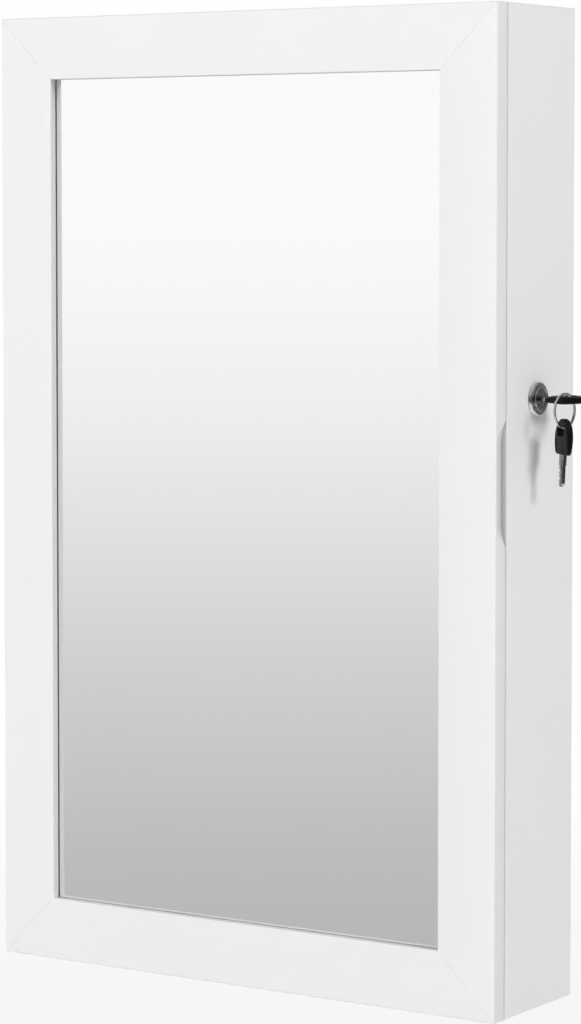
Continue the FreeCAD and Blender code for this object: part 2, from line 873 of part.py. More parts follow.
def striker():
    """An angle bracket on the door's back with a riveted pin for the cam's hook."""
    leg_x = inner_x - striker_leg_inset
    flange_end = inner_x - striker_clearance
    pin_y = lock_centre.y - cam_pin_reach
    z = lock_centre.z
    low, high = around(z, striker_height)
    outward = point(0, striker_thickness, 0)
    flange = rounded_rectangle((leg_x, flange_end), (low, high), striker_corner, on_door_back, outward)
    bend_y, tip_y = pin_y - striker_leg_bend, pin_y + striker_leg_tip
    leg = prism(
        [point(leg_x, door_back_y, low), point(leg_x, door_back_y, high),
         point(leg_x, bend_y, z + striker_leg_neck), point(leg_x, tip_y, z + striker_leg_nose),
         point(leg_x, tip_y, z - striker_leg_nose), point(leg_x, bend_y, z - striker_leg_neck)],
        [0, 2, 6, 4, 4, 6],
        point(striker_thickness, 0, 0),
    )
    pin_start = point(leg_x - striker_pin_proud, pin_y, z)
    pin = round_bar(pin_start, pin_start + point(striker_pin_length, 0, 0), cam_pin_radius)
    kind = countersunk_screw(*striker_screw)
    seat_x = middle_of(leg_x + striker_thickness, flange_end)
    seat_y = door_back_y + striker_thickness
    seats = [point(seat_x, seat_y, seat) for seat in around(z, striker_screw_spacing)]
    screws, holes = screws_at(kind, seats, point(0, 1, 0))
    bracket = flange.fuse(leg).cut(compound(holes + [pin])).removeSplitter()
    nodes = {
        "lock_striker": bracket,
        "striker_pin": pin,
        "striker_screws": compound(screws),
    }
    return nodes, holes


# ---- keys ----


def key_blade():
    """Blade along +X from its stop shoulder at x = 0: notched in front, plain behind."""
    half = blade_width / 2
    shoulder = key_shoulder_width / 2
    buried = key_shoulder + key_tang
    tip = -blade_length
    corners = [
        point(tip + blade_tip, half, 0),
        point(tip, half - 1.5, 0),
        point(tip, 1.5 - half, 0),
        point(tip + blade_tip * 0.7, -half, 0),
    ]
    for index, deep in enumerate(notch_depths):
        centre = tip + notch_pitch * (index + 1)
        slope = deep * 0.6 + notch_floor / 2
        corners.append(point(centre - slope, -half, 0))
        corners.append(point(centre - notch_floor / 2, deep - half, 0))
        corners.append(point(centre + notch_floor / 2, deep - half, 0))
        corners.append(point(centre + slope, -half, 0))
    corners += [
        point(0, -half, 0),
        point(0, -shoulder, 0),
        point(buried, -shoulder, 0),
        point(buried, shoulder, 0),
        point(0, shoulder, 0),
        point(0, half, 0),
    ]
    blade = Part.Face(Part.makePolygon(corners + corners[:1])).extrude(point(0, 0, blade_thickness))
    blade.translate(point(0, 0, -blade_thickness / 2))
    face_z = blade_thickness / 2
    for side in (-1, 1):
        groove_z = sorted((side * face_z, side * (face_z - blade_groove_depth)))
        blade = blade.cut(block((tip - 1, key_shoulder / 2), blade_groove_ys, groove_z))
    return blade


def key_head_outline():
    """Square shoulders with rounded corners, and an elliptical top."""
    start = key_shoulder
    waist = key_shoulder + key_waist
    half = key_head_width / 2
    corner = key_head_corner
    diagonal = corner * (1 - math.sqrt(0.5))
    oval = Part.Ellipse(point(waist, 0, 0), key_head_length - key_waist, half)
    edges = [
        Part.ArcOfEllipse(oval, -math.pi / 2, math.pi / 2),
        Part.LineSegment(point(waist, half, 0), point(start + corner, half, 0)),
        Part.Arc(
            point(start + corner, half, 0),
            point(start + diagonal, half - diagonal, 0),
            point(start, half - corner, 0),
        ),
        Part.LineSegment(point(start, half - corner, 0), point(start, corner - half, 0)),
        Part.Arc(
            point(start, corner - half, 0),
            point(start + diagonal, diagonal - half, 0),
            point(start + corner, -half, 0),
        ),
        Part.LineSegment(point(start + corner, -half, 0), point(waist, -half, 0)),
    ]
    return Part.Face(Part.Wire([edge.toShape() for edge in edges]))


def dome(side, radius):
    """The sphere whose crown is one face of the head."""
    crown = side * (key_head_thickness / 2 - dome_radius)
    return Part.makeSphere(radius, point(key_shoulder + key_belly, 0, crown))


def key_head(blade):
    """A moulded pebble: domed on both faces, with the ring's slot and a sunk panel in each face."""
    head = key_head_outline().extrude(point(0, 0, 2 * key_head_thickness))
    head.translate(point(0, 0, -key_head_thickness))
    for side in (-1, 1):
        head = head.common(dome(side, dome_radius))
    head = head.makeFillet(head_edge_round, [edge for edge in head.Edges if not runs_up(edge)])
    head = head.cut(ring_slot())
    head = head.makeFillet(slot_edge_round, [edge for edge in head.Edges if rims_slot(edge)])
    for side in (-1, 1):
        head = head.cut(sunk_panel(side))
    return head.cut(blade)


def rims_slot(edge):
    box = edge.BoundBox
    lies_in_slot = box.XMin > slot_far_x - ring_slot_length - 0.01 and box.XMax < slot_far_x + 0.01
    return lies_in_slot and max(-box.YMin, box.YMax) < ring_slot_width / 2 + 0.01 and not runs_up(edge)


def runs_up(edge):
    first = edge.valueAt(edge.FirstParameter)
    last = edge.valueAt(edge.LastParameter)
    return abs(first.z - last.z) > 1.0


def ring_slot():
    """A round-cornered slot through the head for the ring."""
    return rounded_rectangle(
        (slot_far_x - ring_slot_length, slot_far_x),
        around(0, ring_slot_width),
        ring_slot_corner,
        lambda x, y: point(x, y, -key_head_thickness),
        point(0, 0, 2 * key_head_thickness),
    )


def sunk_panel(side):
    """The thumb's place: a panel in one face that follows the dome, a little below it."""
    cutter = rounded_rectangle(
        span(key_shoulder + panel_margin, panel_length),
        around(0, panel_width),
        panel_corner,
        lambda x, y: point(x, y, 0),
        point(0, 0, side * key_head_thickness),
    )
    return cutter.cut(dome(side, dome_radius - panel_sunk))


def ring_centre():
    """The ring hangs from the head's near web, between the slot and the edge."""
    slot_near_x = plug_stand + slot_far_x - ring_slot_length
    web_y = -(ring_slot_width / 2 + key_head_width / 2 - 0.5) / 2
    return beside(slot_near_x + ring_wire + ring_aside, web_y, -ring_drop)


def spare_placement():
    """The spare key hangs head up, with the top of its slot on the ring's lowest point."""
    slot_top = point(slot_far_x, 0, 0)
    ring_floor = ring_centre() - point(0, 0, ring_radius - ring_wire - spare_play)
    upright = FreeCAD.Rotation(point(0, 1, 0), -90)
    facing = FreeCAD.Rotation(point(0, 0, 1), spare_turn - 90)
    level = math.radians(spare_lean_turn)
    lean = FreeCAD.Rotation(point(math.cos(level), math.sin(level), 0), spare_lean)
    rotation = lean.multiply(facing).multiply(upright)
    return FreeCAD.Placement(ring_floor - rotation.multVec(slot_top), rotation)


def keys():
    blade = key_blade()
    head = key_head(blade)
    in_lock = FreeCAD.Placement(beside(plug_stand), FreeCAD.Rotation())
    angle = math.radians(ring_turn)
    ring_axis = point(-math.sin(angle), math.cos(angle), 0)
    nodes = {"key_ring": Part.makeTorus(ring_radius, ring_wire, ring_centre(), ring_axis)}
    for prefix, placement in (("key", in_lock), ("spare_key", spare_placement())):
        for word, shape in (("blade", blade), ("head", head)):
            copy = shape.copy()
            copy.Placement = placement
            nodes[prefix + "_" + word] = copy
    return nodes


# ---- magnetic catch ----


def magnetic_catch():
    """A magnet in a plastic block at the top of the right side, and its plate on the door."""
    centre_z = inner_top_z - catch_below_top
    front = case_front_y + catch_setback
    middle_y = front + catch_width / 2 - 0.5
    pole_z = around(centre_z, pole_height)

    def on_side(y, z):
        return point(inner_x, y, z)

    base = rounded_rectangle(
        around(middle_y, catch_base_width), around(centre_z, catch_base_height), catch_base_corner, on_side,
        point(-catch_base_thickness, 0, 0),
    )
    body = rounded_rectangle(
        span(front, catch_width), around(centre_z, catch_height), catch_corner, on_side,
        point(-catch_depth, 0, 0),
    )
    left_pole = span(inner_x - catch_depth + pole_inset, pole_thickness)
    right_pole = span(inner_x - 3 * pole_thickness, pole_thickness)
    pole_y = (case_front_y, front + pole_reach)
    poles = [block(pole_x, pole_y, pole_z) for pole_x in (left_pole, right_pole)]
    between = (left_pole[1], right_pole[0])
    magnet = block(between, (front + 1, front + pole_reach), pole_z)
    mouth = block(between, (front - 1, front + 1), pole_z)
    kind = pan_screw(*catch_screw)
    base_x = inner_x - catch_base_thickness
    seats = [point(base_x, middle_y, z) for z in around(centre_z, catch_screw_spacing)]
    screws, holes = screws_at(kind, seats, point(-1, 0, 0))
    housing = base.fuse(body).cut(compound(poles + [magnet, mouth] + holes)).removeSplitter()
    plate_end = inner_x - striker_clearance
    plate_x = (plate_end - catch_plate_width, plate_end)
    outward = point(0, catch_plate_thickness, 0)
    plate_z = around(centre_z, catch_plate_height)
    plate = rounded_rectangle(plate_x, plate_z, catch_plate_corner, on_door_back, outward)
    plate_seat = [point(middle_of(*plate_x), door_back_y + catch_plate_thickness, centre_z)]
    plate_kind = countersunk_screw(*catch_plate_screw)
    plate_screws, plate_holes = screws_at(plate_kind, plate_seat, point(0, 1, 0))
    nodes = {
        "catch_housing": housing,
        "catch_poles": compound(poles),
        "catch_magnet": magnet,
        "catch_screws": compound(screws),
        "catch_plate": plate.cut(compound(plate_holes)),
        "catch_plate_screw": compound(plate_screws),
    }
    return nodes, holes, plate_holes


# ---- fittings for the jewelry ----


def ring_tray():
    """A velvet-covered tray of soft rolls that grip rings between them."""
    inside_height = ring_roll_count * ring_roll_pitch
    inside_width = ring_tray_width - 2 * ring_tray_wall
    centre_x = middle_of(-inner_x, divider_left_x)
    high_z = inner_top_z - ring_tray_drop
    low_z = high_z - inside_height - 2 * ring_tray_wall
    inner_z = (low_z + ring_tray_wall, high_z - ring_tray_wall)
    front = lining_y - ring_tray_depth
    floor_y = lining_y - ring_tray_floor
    tray = block(around(centre_x, ring_tray_width), (front, lining_y), (low_z, high_z))
    tray = tray.cut(block(around(centre_x, inside_width), (front - 1, floor_y), inner_z))
    rolls = []
    for index in range(ring_roll_count):
        z = inner_z[0] + (index + 0.5) * ring_roll_pitch
        start = point(centre_x - inside_width / 2, floor_y - ring_roll_radius, z)
        rolls.append(round_bar(start, start + point(inside_width, 0, 0), ring_roll_radius))
    return {"ring_tray": tray, "ring_rolls": compound(rolls)}


def earring_boards():
    """Three boards across the left column: holes for studs in the top one, slots for hooks below."""
    left, right = -inner_x, divider_left_x
    board_y = lining_y - earring_board_reach
    through = point(0, earring_board_thickness + 2, 0)
    count = int((right - left - 2 * earring_slot_pitch) / earring_slot_pitch)
    first = middle_of(left, right) - (count - 1) / 2 * earring_slot_pitch
    boards = []
    for index, rise in enumerate(earring_board_tops):
        board_z = (bottom_z + rise - earring_board_height, bottom_z + rise)
        low_z, high_z = around(middle_of(*board_z), earring_slot_length)
        cutters = []
        for place in range(count):
            x = first + place * earring_slot_pitch
            low, high = point(x, board_y - 1, low_z), point(x, board_y - 1, high_z)
            if index:
                cutters.append(long_slot(low, high, earring_slot_radius, through))
            else:
                cutters += [round_bar(end, end + through, stud_hole_radius) for end in (low, high)]
        board = block((left, right), span(board_y, earring_board_thickness), board_z)
        boards.append(board.cut(compound(cutters)))
    return {"earring_boards": compound(boards)}


def bracelet_rod():
    left, right = -inner_x, divider_left_x
    y = lining_y - bracelet_rod_reach
    z = bottom_z + bracelet_rod_height
    rod = round_bar(point(left, y, z), point(right, y, z), bracelet_rod_radius)
    profile = [
        (0, bracelet_rod_radius),
        (0, rod_socket_radius),
        (rod_socket_length * 0.3, rod_socket_radius),
        (rod_socket_length * 0.3, rod_socket_radius * 0.75),
        (rod_socket_length, rod_socket_radius * 0.65),
        (rod_socket_length, bracelet_rod_radius),
    ]
    rounding = [0, 0, 1.2, 0.8, 0.8, 0]
    walls = ((left, point(1, 0, 0)), (right, point(-1, 0, 0)))
    sockets = [turned(profile, point(wall, y, z), inward, rounding) for wall, inward in walls]
    return {"bracelet_rod": rod, "bracelet_rod_sockets": compound(sockets)}


def shelves():
    left, right = -inner_x, divider_left_x
    nodes = {}
    floors = [inner_bottom_z]
    for word, rise in zip(("upper", "lower"), shelf_tops):
        top = bottom_z + rise
        board_z = (top - shelf_thickness, top)
        nodes["shelf_" + word] = block((left, right), (fitting_front_y, lining_y), board_z)
        floors.append(top)
    rails = []
    for floor in floors:
        rails.append(rounded_rectangle(
            span(fitting_front_y, guard_thickness), span(floor + guard_lift, guard_height), guard_corner,
            lambda y, z: point(left, y, z), point(right - left, 0, 0),
        ))
    nodes["guard_rails"] = compound(rails)
    return nodes


def hook_shape(x, z, rail_y):
    """A wire that leaves the rail level, then turns up to a ball tip."""
    start = point(x, rail_y + hook_in_rail, z)
    turn_y = rail_y - hook_reach + hook_bend
    bend_start = point(x, turn_y, z)
    diagonal = hook_bend * math.sqrt(0.5)
    bend_middle = point(x, turn_y - diagonal, z + hook_bend - diagonal)
    bend_end = point(x, rail_y - hook_reach, z + hook_bend)
    tip = bend_end + point(0, 0, hook_rise)
    path = Part.Wire([
        Part.LineSegment(start, bend_start).toShape(),
        Part.Arc(bend_start, bend_middle, bend_end).toShape(),
        Part.LineSegment(bend_end, tip).toShape(),
    ])
    section = Part.Wire(Part.Circle(start, point(0, 1, 0), hook_wire).toShape())
    wire = path.makePipeShell([section], True, False)
    return wire.fuse(Part.makeSphere(hook_ball, tip))


def necklace_rail():
    """A wooden rail with upturned hooks across the right column."""
    left, right = divider_right_x, inner_x
    rail_y = lining_y - hook_rail_depth
    top = inner_top_z - hook_rail_drop
    rail = rounded_rectangle(
        (rail_y, lining_y), (top - hook_rail_height, top), hook_rail_corner,
        lambda y, z: point(left, y, z), point(right - left, 0, 0),
    )
    hook_z = top - hook_rail_height / 2
    pitch = (right - left) / hook_count
    hooks = [hook_shape(left + (index + 0.5) * pitch, hook_z, rail_y) for index in range(hook_count)]
    return {"necklace_rail": rail.cut(compound(hooks)), "necklace_hooks": compound(hooks)}


def divider_and_bin():
    """The board between the two columns, and the scooped front of the bin below the necklaces."""
    divider_xs = (divider_left_x, divider_right_x)
    divider = block(divider_xs, (fitting_front_y, lining_y), (inner_bottom_z, inner_top_z))
    left, right = divider_right_x, inner_x
    middle = middle_of(left, right)
    low, high = inner_bottom_z, inner_bottom_z + bin_height
    scoop_left, scoop_right = around(middle, 2 * bin_scoop_half_width)

    def on_front(x, z):
        return point(x, fitting_front_y, z)

    front = [
        Part.LineSegment(on_front(left, low), on_front(right, low)),
        Part.LineSegment(on_front(right, low), on_front(right, high)),
        Part.LineSegment(on_front(right, high), on_front(scoop_right, high)),
        Part.Arc(
            on_front(scoop_right, high),
            on_front(middle, high - bin_scoop),
            on_front(scoop_left, high),
        ),
        Part.LineSegment(on_front(scoop_left, high), on_front(left, high)),
        Part.LineSegment(on_front(left, high), on_front(left, low)),
    ]
    outline = Part.Wire([curve.toShape() for curve in front])
    return {
        "divider_panel": divider,
        "necklace_bin_front": Part.Face(outline).extrude(point(0, guard_thickness, 0)),
    }


# ---- the whole cabinet ----


def cabinet():
    lock_nodes, lock_hole = cam_lock()
    striker_nodes, striker_holes = striker()
    hinge_nodes, hinge_case_holes, hinge_door_holes = hinges()
    catch_nodes, catch_holes, catch_plate_holes = magnetic_catch()
    nodes = {}
    nodes.update(case_panels(lock_hole, hinge_case_holes, catch_holes, bumpers()))
    nodes.update(hanging_hardware())
    nodes.update(door_frame(hinge_door_holes, striker_holes + catch_plate_holes))
    nodes.update(mirror_pack())
    for group in (hinge_nodes, lock_nodes, striker_nodes, catch_nodes, keys()):
        nodes.update(group)
    for build in (ring_tray, earring_boards, bracelet_rod, shelves, necklace_rail, divider_and_bin):
        nodes.update(build())
    return nodes


os.makedirs("parts", exist_ok=True)
for node, shape in sorted(cabinet().items()):
    shape.exportStep(os.path.join("parts", node + ".step"))
    print(f"{node}: {len(shape.Solids)} solids, {shape.Volume:.0f} mm3, valid {shape.isValid()}")
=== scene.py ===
import json
import math

import bmesh
import bpy
import numpy as np
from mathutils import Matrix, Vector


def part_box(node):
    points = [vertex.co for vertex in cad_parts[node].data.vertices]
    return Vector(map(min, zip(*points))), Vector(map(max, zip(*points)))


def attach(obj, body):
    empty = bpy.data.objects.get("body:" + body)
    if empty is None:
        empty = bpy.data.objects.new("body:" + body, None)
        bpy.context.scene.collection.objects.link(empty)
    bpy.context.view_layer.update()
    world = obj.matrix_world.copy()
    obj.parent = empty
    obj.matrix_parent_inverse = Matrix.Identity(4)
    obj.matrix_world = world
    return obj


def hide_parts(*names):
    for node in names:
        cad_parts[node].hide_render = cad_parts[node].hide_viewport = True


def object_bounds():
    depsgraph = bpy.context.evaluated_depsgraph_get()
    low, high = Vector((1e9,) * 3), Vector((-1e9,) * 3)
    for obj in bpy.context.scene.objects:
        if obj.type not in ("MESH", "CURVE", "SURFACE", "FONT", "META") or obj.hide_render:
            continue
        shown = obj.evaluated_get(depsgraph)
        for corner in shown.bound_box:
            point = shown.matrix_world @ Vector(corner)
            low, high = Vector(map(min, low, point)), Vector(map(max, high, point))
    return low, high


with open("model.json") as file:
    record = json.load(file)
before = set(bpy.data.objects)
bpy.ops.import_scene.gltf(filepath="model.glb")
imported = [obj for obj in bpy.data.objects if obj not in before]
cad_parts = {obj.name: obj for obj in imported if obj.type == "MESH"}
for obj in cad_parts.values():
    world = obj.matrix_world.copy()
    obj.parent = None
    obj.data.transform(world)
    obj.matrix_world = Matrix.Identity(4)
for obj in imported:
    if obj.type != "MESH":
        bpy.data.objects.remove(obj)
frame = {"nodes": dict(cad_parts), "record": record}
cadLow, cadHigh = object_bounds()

# helpers that build shader nodes


def addNode(tree, kind, inputs=None, **settings):
    # one node, its settings, and its inputs as plain values or as sockets to link from
    node = tree.nodes.new(kind)
    for name, value in settings.items():
        setattr(node, name, value)
    for name, value in (inputs or {}).items():
        if isinstance(value, bpy.types.NodeSocket):
            tree.links.new(value, node.inputs[name])
        else:
            node.inputs[name].default_value = value
    return node


def calc(tree, operation, *values):
    # one Math node on two or three values
    return addNode(tree, "ShaderNodeMath", dict(enumerate(values)), operation=operation).outputs[0]


def remap(tree, value, fromLow, fromHigh, toLow, toHigh):
    # slides a value from one range to another, and holds it there
    spread = {"Value": value, "From Min": fromLow, "From Max": fromHigh, "To Min": toLow, "To Max": toHigh}
    return addNode(tree, "ShaderNodeMapRange", spread).outputs["Result"]


def blendColours(tree, factor, first, second, blendType="MIX"):
    # one Mix node on two colours; the factor and the colours are plain values or sockets
    mix = addNode(tree, "ShaderNodeMix", data_type="RGBA", blend_type=blendType)
    for index, value in ((0, factor), (6, first), (7, second)):
        if isinstance(value, bpy.types.NodeSocket):
            tree.links.new(value, mix.inputs[index])
        else:
            mix.inputs[index].default_value = value
    return mix.outputs[2]


def grey(level):
    # a neutral colour
    return (level, level, level, 1.0)


def newGroup(name, inputs, outputs):
    # an empty shader group with named sockets; inputs are (label, type, default)
    group = bpy.data.node_groups.new(name, "ShaderNodeTree")
    for label, kind, value in inputs:
        socket = group.interface.new_socket(label, in_out="INPUT", socket_type=kind)
        if value is not None:
            socket.default_value = value
    for label, kind in outputs:
        group.interface.new_socket(label, in_out="OUTPUT", socket_type=kind)
    return group, group.nodes.new("NodeGroupInput").outputs, group.nodes.new("NodeGroupOutput").inputs


# effects that several materials share


def makeGrainGroup():
    # soft cloudy noise at two scales: a value for tints, a height for bumps
    group, given, result = newGroup(
        "surfaceGrain",
        [("Vector", "NodeSocketVector", None), ("Scale", "NodeSocketFloat", 300.0),
         ("Cloud Scale", "NodeSocketFloat", 12.0), ("Low", "NodeSocketFloat", 0.0),
         ("High", "NodeSocketFloat", 1.0)],
        [("Value", "NodeSocketFloat"), ("Cloud", "NodeSocketFloat"), ("Height", "NodeSocketFloat")],
    )
    fine = addNode(group, "ShaderNodeTexNoise",
                   {"Vector": given["Vector"], "Scale": given["Scale"], "Detail": 4.0})
    cloud = addNode(group, "ShaderNodeTexNoise",
                    {"Vector": given["Vector"], "Scale": given["Cloud Scale"], "Detail": 3.0})
    group.links.new(remap(group, fine.outputs["Fac"], 0.3, 0.7, given["Low"], given["High"]), result["Value"])
    group.links.new(remap(group, cloud.outputs["Fac"], 0.3, 0.7, given["Low"], given["High"]),
                    result["Cloud"])
    group.links.new(fine.outputs["Fac"], result["Height"])
    return group


def makeEdgeGroup():
    # how far the surface turns within Radius of a point, broken up by noise: worn or thin edges
    group, given, result = newGroup(
        "edgeWear",
        [("Vector", "NodeSocketVector", None), ("Radius", "NodeSocketFloat", 0.001),
         ("Strength", "NodeSocketFloat", 1.0), ("Scale", "NodeSocketFloat", 90.0)],
        [("Mask", "NodeSocketFloat")],
    )
    rounded = addNode(group, "ShaderNodeBevel", {"Radius": given["Radius"]}, samples=4)
    flat = addNode(group, "ShaderNodeNewGeometry")
    across = addNode(group, "ShaderNodeVectorMath", {0: rounded.outputs[0], 1: flat.outputs["Normal"]},
                     operation="DOT_PRODUCT")
    turn = calc(group, "SUBTRACT", 1.0, across.outputs["Value"])
    patches = addNode(group, "ShaderNodeTexNoise",
                      {"Vector": given["Vector"], "Scale": given["Scale"], "Detail": 3.0})
    broken = calc(group, "MULTIPLY", turn, remap(group, patches.outputs["Fac"], 0.35, 0.65, 0.4, 1.0))
    mask = addNode(group, "ShaderNodeClamp", {"Value": calc(group, "MULTIPLY", broken, given["Strength"])})
    group.links.new(mask.outputs[0], result["Mask"])
    return group


def makeDustGroup():
    # a thin film of dust that settles on what faces up
    group, given, result = newGroup(
        "settledDust",
        [("Vector", "NodeSocketVector", None), ("Amount", "NodeSocketFloat", 0.1),
         ("Scale", "NodeSocketFloat", 150.0)],
        [("Mask", "NodeSocketFloat")],
    )
    normal = addNode(group, "ShaderNodeNewGeometry").outputs["Normal"]
    facing = addNode(group, "ShaderNodeSeparateXYZ", {0: normal})
    upward = remap(group, facing.outputs["Z"], 0.35, 1.0, 0.0, 1.0)
    specks = addNode(group, "ShaderNodeTexNoise",
                     {"Vector": given["Vector"], "Scale": given["Scale"], "Detail": 6.0})
    spread = calc(group, "MULTIPLY", upward, remap(group, specks.outputs["Fac"], 0.4, 0.7, 0.2, 1.0))
    group.links.new(calc(group, "MULTIPLY", spread, given["Amount"]), result["Mask"])
    return group


def makeLinesGroup():
    # noise stretched along one direction: brushing, drawing and turning marks on metal, fibres in board
    group, given, result = newGroup(
        "drawnLines",
        [("Vector", "NodeSocketVector", None), ("Stretch", "NodeSocketVector", (1.0, 1.0, 0.03)),
         ("Scale", "NodeSocketFloat", 2500.0)],
        [("Value", "NodeSocketFloat"), ("Height", "NodeSocketFloat")],
    )
    pulled = addNode(group, "ShaderNodeVectorMath", {0: given["Vector"], 1: given["Stretch"]},
                     operation="MULTIPLY")
    lines = addNode(group, "ShaderNodeTexNoise",
                    {"Vector": pulled.outputs[0], "Scale": given["Scale"], "Detail": 5.0})
    group.links.new(remap(group, lines.outputs["Fac"], 0.3, 0.7, 0.0, 1.0), result["Value"])
    group.links.new(lines.outputs["Fac"], result["Height"])
    return group


def makePileGroup():
    # short velvet pile: fine fibre height, and broad patches where a hand has laid it one way or the other
    group, given, result = newGroup(
        "velvetPile",
        [("Vector", "NodeSocketVector", None), ("Fibre Scale", "NodeSocketFloat", 2600.0),
         ("Patch Scale", "NodeSocketFloat", 16.0)],
        [("Lay", "NodeSocketFloat"), ("Fibre", "NodeSocketFloat"), ("Height", "NodeSocketFloat")],
    )
    fibre = addNode(group, "ShaderNodeTexNoise",
                    {"Vector": given["Vector"], "Scale": given["Fibre Scale"], "Detail": 2.0})
    patch = addNode(group, "ShaderNodeTexNoise",
                    {"Vector": given["Vector"], "Scale": given["Patch Scale"], "Detail": 3.0,
                     "Distortion": 0.8})
    group.links.new(remap(group, patch.outputs["Fac"], 0.35, 0.65, 0.0, 1.0), result["Lay"])
    group.links.new(remap(group, fibre.outputs["Fac"], 0.3, 0.7, 0.0, 1.0), result["Fibre"])
    swell = calc(group, "MULTIPLY", patch.outputs["Fac"], 0.6)
    group.links.new(calc(group, "ADD", fibre.outputs["Fac"], swell), result["Height"])
    return group


grainGroup = makeGrainGroup()
edgeGroup = makeEdgeGroup()
dustGroup = makeDustGroup()
linesGroup = makeLinesGroup()
pileGroup = makePileGroup()
print("shared effects built")

# materials, one maker for each kind of finish; these values are the same for every finish of a kind
edgeDulling, edgeShine = 0.12, 0.1
metalEdgeScale, plasticEdgeScale, plasticDustScale = 600.0, 500.0, 900.0


def startMaterial(name, fixed):
    # a fresh Principled material; fixed holds the sockets that stay the same all over the surface
    material = bpy.data.materials.new(name)
    material.use_nodes = True
    tree = material.node_tree
    shader = tree.nodes["Principled BSDF"]
    for label, value in fixed.items():
        shader.inputs[label].default_value = value
    place = addNode(tree, "ShaderNodeTexCoord").outputs["Object"]
    return material, tree, shader, place


def placeGroup(tree, group, place, values):
    # puts a shared effect into a material with its own values
    node = addNode(tree, "ShaderNodeGroup", node_tree=group)
    tree.links.new(place, node.inputs["Vector"])
    for label, value in values.items():
        node.inputs[label].default_value = value
    return node.outputs


def bumpFrom(tree, shader, height, distance):
    # relief in the shading: height from 0 to 1 stands for distance in metres
    bump = addNode(tree, "ShaderNodeBump", {"Height": height, "Distance": distance, "Strength": 1.0})
    tree.links.new(bump.outputs["Normal"], shader.inputs["Normal"])


def paintMaterial(name, paint):
    # satin paint on fibreboard: orange peel from the spray gun, thinner and duller on the edges, a trace
    # of dust, painted shade on faces that turn sideways, and painted shade in the finger scoop
    material, tree, shader, place = startMaterial(name, {"IOR": 1.48, "Specular IOR Level": paint["gloss"]})
    peel = placeGroup(tree, grainGroup, place,
                      {"Scale": paint["peelScale"], "Cloud Scale": paint["cloudScale"]})
    edges = placeGroup(tree, edgeGroup, place,
                       {"Radius": paint["edgeRadius"], "Strength": paint["edgeStrength"]})
    dust = placeGroup(tree, dustGroup, place, {"Amount": paint["dust"]})
    light, dark = paint["colour"], [level * paint["shade"] for level in paint["colour"][:3]] + [1.0]
    coat = blendColours(tree, peel["Cloud"], dark, light)
    thin = blendColours(tree, edges["Mask"], coat, paint["edgeColour"])
    dusty = blendColours(tree, dust["Mask"], thin, paint["dustColour"])
    # painted shade: faces that turn sideways in the part's own frame are darkened, by a share set per finish,
    # to stand in for the shade on the door's edges
    turned = addNode(tree, "ShaderNodeTexCoord").outputs["Normal"]
    turned = addNode(tree, "ShaderNodeSeparateXYZ", {0: turned}).outputs
    aside, upright = calc(tree, "ABSOLUTE", turned["X"]), calc(tree, "ABSOLUTE", turned["Z"])
    sideways = calc(tree, "MAXIMUM", aside, upright)
    rimShadeMask = calc(tree, "MULTIPLY", remap(tree, sideways, 0.7, 0.98, 0.0, 1.0), paint["rimShadeShare"])
    rimShaded = blendColours(tree, rimShadeMask, dusty, paint["rimShadeTint"], "MULTIPLY")
    # painted shade in the finger scoop: a mark on the stile's points darkens the colour where the scoop is
    # deepest, broken a little by the peel clouds
    scoopShadeMark = addNode(tree, "ShaderNodeAttribute", attribute_name="handledEdgeAndScoopShade").outputs["Fac"]
    rubbedEdgeAndScoopShade = calc(tree, "MULTIPLY", scoopShadeMark, remap(tree, peel["Cloud"], 0.0, 1.0, 0.85, 1.0))
    scoopShaded = blendColours(tree, rubbedEdgeAndScoopShade, rimShaded, paint["scoopShadeTint"], "MULTIPLY")
    tree.links.new(scoopShaded, shader.inputs["Base Color"])
    dulled = calc(tree, "MULTIPLY", edges["Mask"], edgeDulling)
    rough = calc(tree, "ADD", remap(tree, peel["Value"], 0.0, 1.0, *paint["roughness"]), dulled)
    tree.links.new(rough, shader.inputs["Roughness"])
    bumpFrom(tree, shader, peel["Height"], paint["peelHeight"])
    return material


def velvetMaterial(name, velvet):
    # short pile: near black straight on, a soft sheen where it turns away, and hand-laid patches
    fixed = {"Sheen Weight": velvet["sheen"], "Sheen Roughness": velvet["sheenRoughness"],
             "Sheen Tint": velvet["sheenTint"], "Specular IOR Level": velvet["gloss"]}
    material, tree, shader, place = startMaterial(name, fixed)
    pile = placeGroup(tree, pileGroup, place,
                      {"Fibre Scale": velvet["fibreScale"], "Patch Scale": velvet["patchScale"]})
    laid = blendColours(tree, pile["Lay"], velvet["dark"], velvet["light"])
    fuzz = blendColours(tree, calc(tree, "MULTIPLY", pile["Fibre"], 0.5), laid, velvet["tip"])
    tree.links.new(fuzz, shader.inputs["Base Color"])
    tree.links.new(remap(tree, pile["Lay"], 0.0, 1.0, 0.95, 0.8), shader.inputs["Roughness"])
    bumpFrom(tree, shader, pile["Height"], velvet["pileHeight"])
    return material


